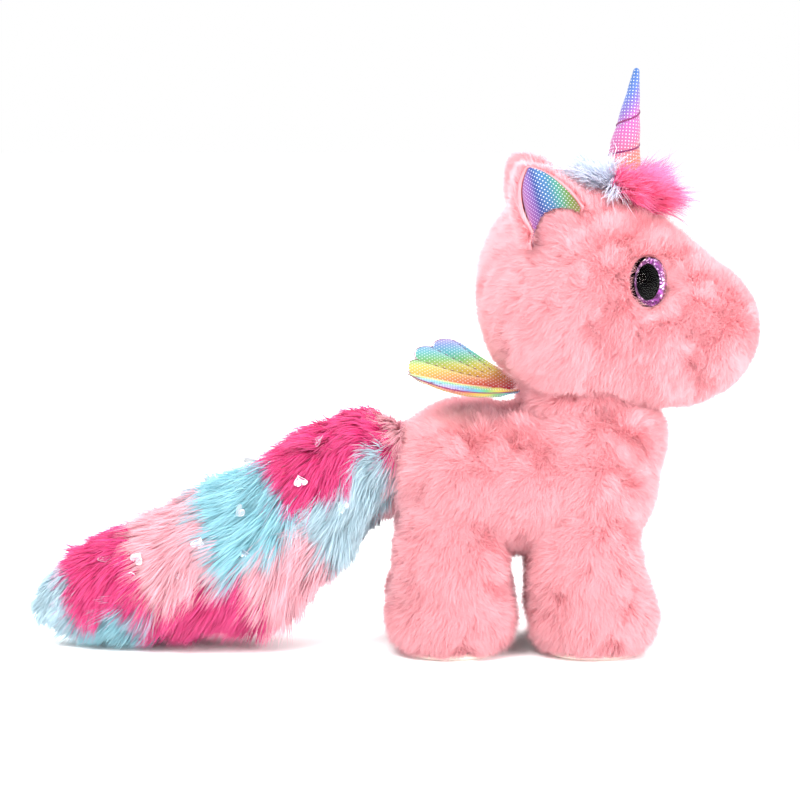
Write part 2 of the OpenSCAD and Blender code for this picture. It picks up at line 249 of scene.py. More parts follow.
def growPile(roots, out, comb, pile, rng, reach=1.0):
    # comb is the way the pile lies, and reach scales the length strand by strand
    count = len(roots)
    comb = unit(comb - out * (comb * out).sum(1, keepdims=True))
    lean = pile["lean"] * (1 + 0.25 * rng.normal(size=(count, 1)))
    aim = unit(out + comb * lean + rng.normal(size=(count, 3)) * pile["stray"])
    uneven = np.clip(1 + pile["spread"] * rng.normal(size=(count, 1)), 0.45, 1.6)
    length = pile["length"] * mm * uneven * reach
    tips = roots + aim * length
    tips[:, 2] -= pile["sag"] * length[:, 0]
    centre = nearestCentres(roots, pile["clump"], rng)
    gathered = tips[centre] + (roots - roots[centre]) * 0.2
    pull = pile["pull"] * rng.uniform(0.6, 1, (count, 1))
    tips = tips * (1 - pull) + gathered * pull
    bend = roots + (out * 0.55 + aim * 0.45) * length * 0.5
    along = unit(tips - roots)
    side = unit(np.cross(along, out) + np.cross(along, rng.normal(size=(count, 3))) * 0.5)
    side *= np.where((np.cross(side, along) * out).sum(1, keepdims=True) < 0, -1, 1)
    levels = np.linspace(0, 1, pile["levels"])
    wave = rng.normal(size=(count, 3)) * pile["crimp"] * mm
    phase = rng.uniform(0, 6.28, (count, 1))
    rings = []
    for level in levels[:-1]:  # the last ring is the tip, a single point
        spot = roots * (1 - level) ** 2 + bend * 2 * level * (1 - level) + tips * level ** 2
        spot = spot + wave * np.sin(level * 9 + phase) * level
        half = side * pile["width"] * mm / 2 * (1 - 0.55 * level)
        rings += [spot - half, spot + half]
    rings.append(tips)
    perStrand = len(rings)
    points = np.stack(rings, 1).reshape(-1, 3)
    steps = len(levels) - 2
    faces = [[2 * k + a, 2 * k + b, 2 * k + c]
             for k in range(steps) for a, b, c in ((0, 1, 3), (0, 3, 2))]
    faces.append([2 * steps, 2 * steps + 1, 2 * steps + 2])
    first = np.arange(count)[:, None, None] * perStrand
    triangles = (np.array(faces)[None] + first).reshape(-1, 3)
    # height runs from 0 at the root to 1 at the tip; the fur's colour ramp paints shade low on it and light
    # high on it
    height = np.concatenate([np.repeat(levels[:-1], 2), [1.0]])
    tuftTint = rng.random(count)[centre]
    tint = 0.55 * tuftTint + 0.45 * rng.random(count)
    facing = unit(out * 0.75 + np.cross(side, along) * 0.5 + rng.normal(size=(count, 3)) * 0.16)
    return {"points": points, "triangles": triangles, "height": np.tile(height, count),
            "tint": np.repeat(tint, perStrand), "facing": np.repeat(facing, perStrand, axis=0)}


def furPiece(name, skin, strands, pileMaterial):
    # skin is (points, triangles, normals) of the backing cloth under the strands
    points, triangles, normals = skin
    used, index = np.unique(triangles, return_inverse=True)
    triangles, points, normals = index.reshape(-1, 3), points[used], normals[used]
    allPoints = np.concatenate([points, strands["points"]])
    allTriangles = np.concatenate([triangles, strands["triangles"] + len(points)])
    mesh = meshFromTriangles(name, allPoints, allTriangles)
    # the backing cloth under the strands takes height 0, so it shows the roots' painted shade
    setAttribute(mesh, "height", np.concatenate([np.zeros(len(points)), strands["height"]]))
    setAttribute(mesh, "tint", np.concatenate([np.full(len(points), 0.3), strands["tint"]]))
    smoothFaces(mesh)
    facing = np.concatenate([normals, strands["facing"]]).astype(np.float32)
    mesh.normals_split_custom_set_from_vertices(facing)
    return addPiece(name, mesh, pileMaterial)


def pointsPerStrand(pile):
    return 2 * (pile["levels"] - 1) + 1


def pick(strands, mask, pile):
    # the strands of one panel, from a grown pile
    perStrand = pointsPerStrand(pile)
    keepPoints = np.repeat(mask, perStrand)
    keepFaces = np.repeat(mask, perStrand - 2)
    renumber = np.cumsum(keepPoints) - 1
    picked = {key: strands[key][keepPoints] for key in ("points", "height", "tint", "facing")}
    picked["triangles"] = renumber[strands["triangles"][keepFaces]]
    return picked


# Materials

def fauxFur(name, root, body, tip, patchSize=9.0):
    # Polyester pile, dyed in the fibre: matt and soft, with painted shade deep between the strands at their
    # roots and painted light on the paler tips
    material, tree, shader = startMaterial(name)
    height = addNode(tree, "ShaderNodeAttribute", attribute_name="height")
    tint = addNode(tree, "ShaderNodeAttribute", attribute_name="tint")
    place = addNode(tree, "ShaderNodeTexCoord")
    # slow patches where the pile is brushed a little differently, patchSize mm across
    patches = addNode(tree, "ShaderNodeTexNoise", {"Vector": place.outputs["Object"],
                                                   "Scale": 1000 / patchSize, "Detail": 2.0})
    # colour by height along each strand: painted shade at the root, the dyed colour in the middle, painted
    # light at the tip
    ramp = addNode(tree, "ShaderNodeValToRGB", {"Fac": height.outputs["Fac"]})
    fillRamp(ramp.color_ramp, [(0.0, root), (0.5, body), (1.0, tip)])
    shade = addNode(tree, "ShaderNodeMath", {0: tint.outputs["Fac"], 1: patches.outputs["Fac"]},
                    operation="ADD")
    value = addNode(tree, "ShaderNodeMapRange", {"Value": shade.outputs[0], "From Min": 0.3, "From Max": 1.5,
                                                 "To Min": 0.93, "To Max": 1.05})
    tuned = addNode(tree, "ShaderNodeHueSaturation", {"Color": ramp.outputs["Color"],
                                                      "Value": value.outputs["Result"]})
    tree.links.new(tuned.outputs["Color"], shader.inputs["Base Color"])
    shader.inputs["Roughness"].default_value = 0.78
    shader.inputs["Sheen Weight"].default_value = 0.2
    shader.inputs["Sheen Roughness"].default_value = 0.4
    shader.inputs["Specular IOR Level"].default_value = 0.25
    # thin fibres also let light through from behind
    through = addNode(tree, "ShaderNodeBsdfTranslucent", {"Color": tuned.outputs["Color"]})
    mixed = addNode(tree, "ShaderNodeMixShader", {"Fac": 0.4, 1: shader.outputs["BSDF"],
                                                  2: through.outputs["BSDF"]})
    tree.links.new(mixed.outputs["Shader"], tree.nodes["Material Output"].inputs["Surface"])
    return material


def foilCloth(name, rainbow, dotPitch=1.35, dotSize=0.5):
    # Printed satin with foil dots: the print is a soft rainbow, each dot a speck of silver film
    material, tree, shader = startMaterial(name)
    cloth = addNode(tree, "ShaderNodeAttribute", attribute_name="cloth")
    parts = addNode(tree, "ShaderNodeSeparateXYZ", {"Vector": cloth.outputs["Vector"]})
    ramp = addNode(tree, "ShaderNodeValToRGB", {"Fac": parts.outputs["Z"]})
    fillRamp(ramp.color_ramp, rainbow)
    printed = addNode(tree, "ShaderNodeHueSaturation", {"Color": ramp.outputs["Color"], "Saturation": 1.02,
                                                        "Value": 0.42})
    # dots sit on a square lattice turned 45 degrees, dotPitch mm apart
    turned = addNode(tree, "ShaderNodeMapping", {"Vector": cloth.outputs["Vector"],
                                                 "Rotation": (0, 0, math.radians(45)),
                                                 "Scale": (1 / dotPitch, 1 / dotPitch, 0)})
    lattice = addNode(tree, "ShaderNodeTexVoronoi", {"Vector": turned.outputs["Vector"], "Scale": 1.0,
                                                     "Randomness": 0.0}, voronoi_dimensions="2D")
    dot = addNode(tree, "ShaderNodeMapRange", {"Value": lattice.outputs["Distance"],
                                               "From Min": dotSize / dotPitch * 0.42,
                                               "From Max": dotSize / dotPitch * 0.58,
                                               "To Min": 1.0, "To Max": 0.0})
    color = addNode(tree, "ShaderNodeMix", {"Factor": dot.outputs["Result"], "A": printed.outputs["Color"],
                                            "B": linear("#c4c8d6")}, data_type="RGBA")
    metal = addNode(tree, "ShaderNodeMath", {0: dot.outputs["Result"], 1: 0.55}, operation="MULTIPLY")
    rough = addNode(tree, "ShaderNodeMapRange", {"Value": dot.outputs["Result"], "To Min": 0.5,
                                                 "To Max": 0.28})
    # the satin's fine ribs, drawn at 0.35 mm so that they show
    ribs = addNode(tree, "ShaderNodeTexWave", {"Vector": cloth.outputs["Vector"], "Scale": 0.9,
                                               "Distortion": 0.4}, bands_direction="X")
    height = addNode(tree, "ShaderNodeMath", {0: dot.outputs["Result"], 1: ribs.outputs["Fac"]},
                     operation="ADD")
    bump = addNode(tree, "ShaderNodeBump", {"Height": height.outputs[0], "Strength": 0.25,
                                            "Distance": 0.0001})
    tree.links.new(color.outputs["Result"], shader.inputs["Base Color"])
    tree.links.new(metal.outputs[0], shader.inputs["Metallic"])
    tree.links.new(rough.outputs["Result"], shader.inputs["Roughness"])
    tree.links.new(bump.outputs["Normal"], shader.inputs["Normal"])
    shader.inputs["Sheen Weight"].default_value = 0.15
    return material


def plainCloth(name, color, shadow, grain):
    # Felt, wadding and thread: short fibres with no direction, grain mm across
    material, tree, shader = startMaterial(name)
    place = addNode(tree, "ShaderNodeTexCoord")
    fibres = addNode(tree, "ShaderNodeTexNoise", {"Vector": place.outputs["Object"], "Scale": 1000 / grain,
                                                  "Detail": 6.0, "Roughness": 0.7})
    ramp = addNode(tree, "ShaderNodeValToRGB", {"Fac": fibres.outputs["Fac"]})
    fillRamp(ramp.color_ramp, [(0.3, shadow), (0.65, color)])
    bump = addNode(tree, "ShaderNodeBump", {"Height": fibres.outputs["Fac"], "Strength": 0.6,
                                            "Distance": 0.0003})
    tree.links.new(ramp.outputs["Color"], shader.inputs["Base Color"])
    tree.links.new(bump.outputs["Normal"], shader.inputs["Normal"])
    shader.inputs["Roughness"].default_value = 0.9
    shader.inputs["Sheen Weight"].default_value = 0.2
    return material


def moulded(name, color, roughness, scuff, shine):
    # Injection-moulded plastic: an even colour, with fine scuffs that break its shine
    material, tree, shader = startMaterial(name)
    place = addNode(tree, "ShaderNodeTexCoord")
    marks = addNode(tree, "ShaderNodeTexNoise", {"Vector": place.outputs["Object"], "Scale": 900.0,
                                                 "Detail": 4.0})
    rough = addNode(tree, "ShaderNodeMapRange", {"Value": marks.outputs["Fac"], "To Min": roughness,
                                                 "To Max": roughness + scuff})
    tree.links.new(rough.outputs["Result"], shader.inputs["Roughness"])
    shader.inputs["Base Color"].default_value = linear(color)
    shader.inputs["Specular IOR Level"].default_value = shine
    return material


def glitterFilm():
    # Glitter set in lacquer: flakes 0.7 mm across, each with its own tilt and its own violet or magenta
    material, tree, shader = startMaterial("glitter film")
    place = addNode(tree, "ShaderNodeTexCoord")
    flakes = addNode(tree, "ShaderNodeTexVoronoi", {"Vector": place.outputs["Object"], "Scale": 1000 / 0.7})
    ramp = addNode(tree, "ShaderNodeValToRGB", {"Fac": flakes.outputs["Color"]})
    fillRamp(ramp.color_ramp, [(0.0, "#1c0420"), (0.3, "#48104e"), (0.55, "#6e2274"), (0.72, "#9a4aa4"),
                               (0.84, "#f3d9f6")])
    bump = addNode(tree, "ShaderNodeBump", {"Height": flakes.outputs["Color"], "Strength": 0.7,
                                            "Distance": 0.0002})
    tree.links.new(ramp.outputs["Color"], shader.inputs["Base Color"])
    tree.links.new(bump.outputs["Normal"], shader.inputs["Normal"])
    shader.inputs["Metallic"].default_value = 0.6
    shader.inputs["Roughness"].default_value = 0.35
    return material


def clearAcrylic():
    # Polished acrylic: clear, with a crisp window of light on the dome
    material, tree, shader = startMaterial("clear acrylic")
    shader.inputs["Base Color"].default_value = linear("#ffffff")
    shader.inputs["Transmission Weight"].default_value = 1.0
    shader.inputs["Roughness"].default_value = 0.02
    shader.inputs["IOR"].default_value = 1.12
    return material


def mirrorFilm():
    # Metallised film punched into sequins: a bright silver mirror, slightly crinkled
    material, tree, shader = startMaterial("metallised film")
    place = addNode(tree, "ShaderNodeTexCoord")
    crinkle = addNode(tree, "ShaderNodeTexNoise", {"Vector": place.outputs["Object"], "Scale": 450.0})
    bump = addNode(tree, "ShaderNodeBump", {"Height": crinkle.outputs["Fac"], "Strength": 0.35,
                                            "Distance": 0.0003})
    tree.links.new(bump.outputs["Normal"], shader.inputs["Normal"])
    shader.inputs["Base Color"].default_value = linear("#eceef4")
    shader.inputs["Metallic"].default_value = 1.0
    shader.inputs["Roughness"].default_value = 0.12
    return material


# each fur's three colours are root, body and tip: the darker root colour is painted shade, the paler tip
# colour is painted light
pinkPlush = fauxFur("pink plush", "#efa3ab", "#f4b2ba", "#f8c9cf")
blushShag = fauxFur("blush shag", "#c98496", "#dca2ae", "#ecbfc8", 12.0)
pinkShag = fauxFur("hot pink shag", "#98124a", "#cc2a6e", "#e25f98", 12.0)
cyanShag = fauxFur("cyan shag", "#58a2b2", "#86bfcb", "#a9d3dc", 12.0)
iceShag = fauxFur("ice shag", "#7fa4b4", "#a3bfca", "#c2d6de", 12.0)
whiteTuft = fauxFur("white tuft", "#b4aac6", "#ccd4e4", "#e2eaf4", 8.0)
pinkTuft = fauxFur("pink tuft", "#d81c58", "#f0568f", "#f58cb8", 8.0)
wadding = plainCloth("polyester wadding", "#f6f4ef", "#dcd8d0", 0.5)
soleFelt = plainCloth("cream felt", "#f7efe2", "#e2d6c4", 0.4)
darkThread = plainCloth("plum thread", "#7c1f5c", "#4a0f38", 0.15)
blackPlastic = moulded("black ABS", "#020203", 0.25, 0.1, 0.0)
nylon = moulded("white nylon", "#dedfe0", 0.45, 0.15, 0.4)
glitter = glitterFilm()
acrylic = clearAcrylic()
sequinFilm = mirrorFilm()
print("materials ready")


# What every piece gets: the body it rides and the CAD node it stands for


def fit(piece, node, body=None):
    if body:
        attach(piece, body)
    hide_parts(node)
    return piece


lumpSize = 9  # mm across a lump of loose filling


def stuffing(name, blobs, node, body, voxel=3.2, lump=0.7):
    # loose polyester filling: a rounded mass whose soft surface rises and falls by lump mm
    mesh = softForm(name, blobs, voxel * mm, 3)
    points, triangles, normals = readMesh(mesh)
    lumps = swirl(points, lumpSize * mm, 5)[:, :1]
    movePoints(mesh, points + normals * lumps * lump * mm)
    smoothFaces(mesh)
    return fit(addPiece(name, mesh, wadding), node, body)


# Torso and legs: one stuffed skin, cut into its sewn panels

# lengths and widths in mm; clump is the number of strands that gather to one tip
shortPile = {"length": 6.2, "spread": 0.24, "lean": 0.75, "stray": 0.36, "sag": 0.05, "clump": 150,
             "pull": 0.26, "levels": 2, "width": 0.25, "crimp": 0.0}
bodyPile = dict(shortPile, strands=720000)
bodyShape = {"underPile": 4.2, "rumpHalf": 33, "chestHalf": 31, "barrelHalf": 34, "halfHeight": 31,
             "rise": 0.5, "rumpRise": 1, "withersAhead": 3, "withersRise": 16, "withers": (32, 25),
             "withersWidth": 0.82, "calf": (20, 17, 38), "calfRise": 34, "frontCalfBack": 3,
             "foot": (23.5, 17.5, 18), "footRise": 17, "voxel": 2.6, "puff": 1.6, "bellyHalf": 15,
             "bellyTop": 58, "legTop": 40, "legFollows": 22}
torsoLow, torsoHigh = boxOf("torso_left", "torso_right", "belly_panel")
legs = [(end, side) for end in ("front", "rear") for side in ("left", "right")]
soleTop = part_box("sole_front_left")[1].z


def torsoBlobs(inset):
    # a rump and a chest of the same height, the barrel between them, and the withers over the chest
    shape = bodyShape
    middle = (torsoLow[2] + torsoHigh[2]) / 2 + shape["rise"] * mm
    tall = shape["halfHeight"] * mm - inset
    wide = torsoHigh[1] - inset
    rump = (torsoLow[0] + shape["rumpHalf"] * mm, 0, middle + shape["rumpRise"] * mm)
    chest = (torsoHigh[0] - shape["chestHalf"] * mm, 0, middle)
    barrel = ((rump[0] + chest[0]) / 2, 0, middle)
    withers = (chest[0] + shape["withersAhead"] * mm, 0, middle + shape["withersRise"] * mm)
    long, high = [r * mm - inset for r in shape["withers"]]
    return [(rump, (shape["rumpHalf"] * mm - inset, wide, tall + shape["rumpRise"] * mm), 0),
            (chest, (shape["chestHalf"] * mm - inset, wide, tall), 0),
            (barrel, (shape["barrelHalf"] * mm, wide, tall), 0),
            (withers, (long, wide * shape["withersWidth"], high), 0)]


def legMiddle(end, side):
    low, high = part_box(f"leg_{end}_{side}")
    return (low.x + high.x) / 2, (low.y + high.y) / 2


def legBlobs(end, side, inset):
    x, y = legMiddle(end, side)
    calf, foot = [tuple(r * mm - inset for r in bodyShape[part]) for part in ("calf", "foot")]
    calfX = x - (bodyShape["frontCalfBack"] * mm if end == "front" else 0)
    return [((calfX, y, bodyShape["calfRise"] * mm), calf, 0), ((x, y, bodyShape["footRise"] * mm), foot, 0)]


def growOn(mesh, count, way, pile, seed, twirl=0.6, twirlSize=14, reach=None):
    # pile over a whole skin: the roots, which way they lie, and the strands
    skin = readMesh(mesh)
    rng = np.random.default_rng(seed)
    roots, out = scatter(*skin, count, rng)
    comb = unit(way(roots)) + swirl(roots, twirlSize * mm, seed) * twirl
    strands = growPile(roots, out, comb, pile, rng, 1.0 if reach is None else reach(roots)[:, None])
    return skin, roots, out, strands


def cutOut(skin, keep):
    # the triangles of a skin whose middles are in the panel
    points, triangles, normals = skin
    return points, triangles[keep(points[triangles].mean(1))], normals


inset = bodyShape["underPile"] * mm
bodySkin = softForm("body skin", torsoBlobs(inset) + [b for leg in legs for b in legBlobs(*leg, 0)],
                    bodyShape["voxel"] * mm, 6)
bodySkin = puff(bodySkin, bodyShape["puff"] * mm)
spots = readMesh(bodySkin)[0]
spots[:, 2] = np.maximum(spots[:, 2], soleTop + 0.3 * mm)  # the skin ends just over the felt
movePoints(bodySkin, spots)


def bodyComb(points):
    # brushed down and back; straight down on the legs
    legShare = np.clip((50 * mm - points[:, 2]) / (20 * mm), 0, 1)
    return np.stack([-0.6 * (1 - legShare), 0 * legShare, -0.7 - 0.3 * legShare], 1)


def bodyReach(points):
    # short under the feet, where the felt is sewn on
    return np.where(points[:, 2] < soleTop + 2 * mm, 0.35, 1.0)


skin, roots, out, strands = growOn(bodySkin, bodyPile["strands"], bodyComb, bodyPile, 11, reach=bodyReach)
strands["points"][:, 2] = np.maximum(strands["points"][:, 2], 0.5 * mm)
splitX = (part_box("leg_front_left")[0].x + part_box("leg_rear_left")[1].x) / 2


def onLegs(p):
    return p[:, 2] < bodyShape["legTop"] * mm


def isBelly(p):
    narrow = np.abs(p[:, 1]) < bodyShape["bellyHalf"] * mm
    return narrow & (p[:, 2] < bodyShape["bellyTop"] * mm) & ~onLegs(p)


def isSide(p, sign):
    return (p[:, 1] * sign > 0) & ~isBelly(p) & ~onLegs(p)


def isLeg(p, end, side):
    front = p[:, 0] > splitX
    return onLegs(p) & (front == (end == "front")) & (p[:, 1] * sides[side] > 0)


def addPanel(name, node, grown, pile, keep, body=None):
    # one sewn panel of pink plush: the part of the skin, and the strands on it, where keep is true
    skin, roots, strands = grown
    piece = furPiece(name, cutOut(skin, keep), pick(strands, keep(roots), pile), pinkPlush)
    return fit(piece, node, body)


grown = (skin, roots, strands)
for side, sign in sides.items():
    addPanel(f"torso{side.title()}", f"torso_{side}", grown, bodyPile, lambda p: isSide(p, sign), "torso")
addPanel("bellyPanel", "belly_panel", grown, bodyPile, isBelly, "torso")
for end, side in legs:
    piece = addPanel(f"leg{end.title()}{side.title()}", f"leg_{end}_{side}", grown, bodyPile,
                     lambda p: isLeg(p, end, side))
    x, y = legMiddle(end, side)
    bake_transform(piece)
    stuffing(f"legFilling{end.title()}{side.title()}", legBlobs(end, side, 3 * mm),
             f"leg_stuffing_{end}_{side}", f"leg_{end}_{side}")
stuffing("torsoFilling", torsoBlobs(inset + 3 * mm), "torso_stuffing", "torso")
print("torso and legs ready")


# Neck: a ball of plush that the head turns on

neckShape = {"ball": 28.5, "skin": 26, "centre": (74, 0, 122), "top": 118, "base": (74, 0, 103),
             "baseRadii": (24, 26, 9), "filling": (20, 20, 17), "fillingDrop": 5, "voxel": 2.4}
neckPile = dict(shortPile, strands=90000, length=6.0, lean=0.8, sag=0)
neckCentre = np.array(neckShape["centre"]) * mm
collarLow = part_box("neck_collar")[0].z


def blob(centre, radii):
    return tuple(c * mm for c in centre), tuple(r * mm for r in radii), 0


neckBlobs = [blob(neckShape["centre"], [neckShape["skin"]] * 3),
             blob(neckShape["base"], neckShape["baseRadii"])]
neckSkin = softForm("neck skin", neckBlobs, neckShape["voxel"] * mm, 4)
skin, roots, out, strands = growOn(neckSkin, neckPile["strands"],
                                   lambda p: np.array([[-0.3, 0, -1.0]]) + 0 * p, neckPile, 21)
addPanel("neckCollar", "neck_collar", (skin, roots, strands), neckPile,
         lambda p: (p[:, 2] > collarLow) & (p[:, 2] < neckShape["top"] * mm), "neck")
low = np.array(neckShape["centre"]) - (0, 0, neckShape["fillingDrop"])
stuffing("neckFilling", [blob(low, neckShape["filling"])], "neck_stuffing", "neck")

# Head: two sides and the gusset that runs over the face and crown

headPile = dict(shortPile, strands=520000, sag=0.04)
headShape = {"underPile": 4.0, "gussetHalf": 15, "voxel": 2.6, "puff": 1.2, "nose": (148, 0, 131),
             "skull": ((72, 0, 146), (41, 48, 47)), "muzzle": ((112.6, 0, 131), (36, 32, 33)),
             "shortFrom": 132, "shortOver": 34, "shortest": 0.55, "plushThickness": 3.5}
# centre and radii of the pile's surface over the skull and over the muzzle, and full masses between them
skullMass, muzzleMass = np.array(headShape["skull"]), np.array(headShape["muzzle"])
headMasses = [tuple(map(tuple, skullMass + (muzzleMass - skullMass) * t)) for t in (0, 0.25, 0.5, 0.75, 1)]


def headBlobs(inset):
    return [(tuple(c * mm for c in centre), tuple(r * mm - inset for r in radii), 0)
            for centre, radii in headMasses]


headSkin = softForm("head skin", headBlobs(headShape["underPile"] * mm), headShape["voxel"] * mm, 8)
headSkin = puff(headSkin, headShape["puff"] * mm)
noseTip = np.array(headShape["nose"]) * mm
# turn and tilt in degrees; no strand is rooted within clear mm of the eye's axis or ends within tipsClear
eyeShape = {"turn": 44, "tilt": 86, "clear": 10.2, "tipsClear": 9.0, "behind": 20, "socket": 12.5,
            "socketEdge": 0.35, "socketDepth": 1.2, "sunk": 2.3, "offset": (-1.5, 0, -2.6)}


def eyePlace(side):
    # on the pupil's disc, whose lower face is the top of the eye's plate
    low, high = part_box(f"eye_pupil_{side}")
    turn = Matrix.Rotation(sides[side] * math.radians(eyeShape["turn"]), 4, "Z")
    turn = turn @ Matrix.Rotation(math.radians(eyeShape["tilt"]), 4, "Y")
    spot = (low + high) / 2 - turn.to_3x3() @ Vector((0, 0, eyeShape["sunk"] * mm))
    spot += Vector(eyeShape["offset"]) * mm
    return Matrix.Translation(spot) @ turn


def fromEye(points, side):
    # distance from the eye's axis, and height above its plate
    local = (points - np.array(eyePlace(side).translation)) @ np.array(eyePlace(side).to_3x3())
    return np.hypot(local[:, 0], local[:, 1]), local[:, 2]


def pressEyes(mesh, below):
    # the eyes' plates pull the cloth in, to below mm under them
    spots = readMesh(mesh)[0]
    for side in sides:
        off, up = fromEye(spots, side)
        axis = np.array(eyePlace(side).to_3x3() @ Vector((0, 0, 1)))
        edge = eyeShape["socketEdge"]
        share = np.clip((1 + edge - off / (eyeShape["socket"] * mm)) / edge, 0, 1)
        share = share * share * (3 - 2 * share) * (up > -below * mm) * (up < 30 * mm)
        spots -= (share * (up + below * mm))[:, None] * axis
    movePoints(mesh, spots)


pressEyes(headSkin, eyeShape["socketDepth"])


def headComb(points):
    # brushed away from the nose, and down on the cheeks
    way = unit(points - noseTip)
    way[:, 2] -= 0.5 * np.clip(np.abs(points[:, 1]) / (40 * mm), 0, 1)
    return way


def headReach(points):
    # shorter over the muzzle than over the crown
    shape = headShape
    full = np.clip((shape["shortFrom"] * mm - points[:, 0]) / (shape["shortOver"] * mm), 0, 1)
    return shape["shortest"] + (1 - shape["shortest"]) * full


skin, roots, out, strands = growOn(headSkin, headPile["strands"], headComb, headPile, 31, reach=headReach)


def offNeck(p):
    return np.linalg.norm(p - neckCentre, axis=1) > neckShape["ball"] * mm


clear = offNeck(roots)
perStrand = pointsPerStrand(headPile)
tips = strands["points"][perStrand - 1::perStrand]
for side in sides:
    for ends, room in ((roots, "clear"), (tips, "tipsClear")):
        off, up = fromEye(ends, side)
        clear &= ~((off < eyeShape[room] * mm) & (up > -eyeShape["behind"] * mm))
grown = (skin, roots[clear], pick(strands, clear, headPile))
gusset = headShape["gussetHalf"] * mm
for side, sign in sides.items():
    addPanel(f"head{side.title()}", f"head_{side}", grown, headPile,
             lambda p: (p[:, 1] * sign > gusset) & offNeck(p), "head")
addPanel("headGusset", "head_gusset", grown, headPile,
         lambda p: (np.abs(p[:, 1]) <= gusset) & offNeck(p), "head")
headInset = (headShape["underPile"] + headShape["plushThickness"]) * mm
headFilling = stuffing("headFilling", headBlobs(headInset), "head_stuffing", "head")
pressEyes(headFilling.data, eyeShape["socketDepth"] + headShape["plushThickness"])
print("head ready")


# Eyes: turned parts on one axis

def lathe(name, profile, material, place, count=96):
    # profile is (radius, height) in mm from the axis round to the axis, smooth except at sharp corners
    rings = [(r * mm, z * mm) for r, z in profile]
    bm = bmesh.new()
    loops = []
    for r, z in rings:
        if r < 1e-7:
            loops.append([bm.verts.new((0, 0, z))])
            continue
        angles = [2 * math.pi * k / count for k in range(count)]
        loops.append([bm.verts.new((r * math.cos(a), r * math.sin(a), z)) for a in angles])
    for low, high in zip(loops, loops[1:]):
        for k in range(count):
            n = (k + 1) % count
            corners = [low[k % len(low)], low[n % len(low)], high[n % len(high)], high[k % len(high)]]
            corners = list(dict.fromkeys(corners))
            if len(corners) > 2:
                bm.faces.new(corners)
    bmesh.ops.recalc_face_normals(bm, faces=bm.faces)
    bm.transform(place)
    mesh = bpy.data.meshes.new(name)
    bm.to_mesh(mesh)
    bm.free()
    smoothFaces(mesh, 40)
    return addPiece(name, mesh, material)


def dome(radius, rise, low, edge, steps=14):
    # a dome's profile from its rim up to the middle, over a rim edge mm high
    ball = (radius ** 2 + rise ** 2) / (2 * rise)
    spread = math.asin(min(1.0, radius / ball))
    profile = [(0, low), (radius - 0.15, low), (radius, low + 0.15), (radius, low + edge)]
    for k in range(1, steps + 1):
        angle = spread * (1 - k / steps)
        profile.append((ball * math.sin(angle), low + edge + ball * (math.cos(angle) - math.cos(spread))))
    return profile


eyeParts = {"radius": 10, "pupil": 7.3, "plate": 1.0, "lensRise": 3.0, "post": 2.5, "postLength": 14,
            "washer": 7.5, "washerSeat": 10}
for side in sides:
    place = eyePlace(side)
    title = side.title()
    rim, pupil = eyeParts["radius"], eyeParts["pupil"]
    post = [(0, -eyeParts["postLength"]), (eyeParts["post"] - 0.4, -eyeParts["postLength"]),
            (eyeParts["post"], -eyeParts["postLength"] + 0.5), (eyeParts["post"], -eyeParts["plate"] - 0.4),
            (eyeParts["post"] + 0.4, -eyeParts["plate"]), (rim - 0.2, -eyeParts["plate"]),
            (rim, -eyeParts["plate"] + 0.2), (rim, 1.5), (rim - 0.12, 1.65), (rim - 0.3, 1.5),
            (rim - 0.3, -0.02), (0, -0.02)]
    fit(lathe(f"eyePost{title}", post, blackPlastic, place), f"eye_post_{side}", "head")
    ring = [(pupil + 0.02, 0), (rim - 0.32, 0), (rim - 0.32, 1.5), (pupil + 0.02, 0.4), (pupil + 0.02, 0)]
    fit(lathe(f"eyeGlitter{title}", ring, glitter, place), f"eye_glitter_{side}", "head")
    fit(lathe(f"eyePupil{title}", dome(pupil, 0.3, 0, 0.25), blackPlastic, place), f"eye_pupil_{side}",
        "head")
    # the lens is a hollow dome over the ring and the pupil
    outside = dome(rim - 0.1, eyeParts["lensRise"], 1.7, 0.3)[2:]
    hollow = [(r * 0.95, z - 0.45) for r, z in outside[1:]][::-1]
    shell = outside + [(0, outside[-1][1] - 0.45)] + hollow[1:] + outside[:1]
    lens = lathe(f"eyeLens{title}", shell, acrylic, place)
    fit(lens, f"eye_lens_{side}", "head")


def washerRing(side):
    inner, outer, seat = eyeParts["post"] + 0.06, eyeParts["washer"], -eyeParts["washerSeat"]
    profile = [(inner, seat), (outer - 0.3, seat), (outer, seat + 0.3), (outer, seat + 1.0),
               (outer - 0.5, seat + 1.4), (inner + 0.8, seat + 1.6), (inner, seat + 1.3), (inner, seat)]
    return lathe(f"washer {side}", profile, nylon, eyePlace(side))


def joined(name, pieces):
    with bpy.context.temp_override(active_object=pieces[0], selected_editable_objects=pieces):
        bpy.ops.object.join()
    pieces[0].name = name
    return pieces[0]


fit(joined("eyeWashers", [washerRing(side) for side in sides]), "eye_washers", "head")
print("eyes ready")


# Soles: cream felt, puffed a little and sewn round its edge

soleShape = {"round": 1.1}


def ringedMesh(name, rings, first, last):
    # a closed form from rings of matching points, with a middle point for the first and the last ring
    spokes = len(rings[0])
    points = np.concatenate(rings + [np.array([first, last])])
    k = np.arange(spokes)
    n = (k + 1) % spokes
    faces = []
    for ring in range(len(rings) - 1):
        a, b = ring * spokes, (ring + 1) * spokes
        faces += [np.stack([a + k, b + n, a + n], 1), np.stack([a + k, b + k, b + n], 1)]
    end = (len(rings) - 1) * spokes
    faces += [np.stack([k, n, np.full(spokes, len(points) - 2)], 1),
              np.stack([end + n, end + k, np.full(spokes, len(points) - 1)], 1)]
    mesh = meshFromTriangles(name, points, np.concatenate(faces))
    smoothFaces(mesh)
    return mesh


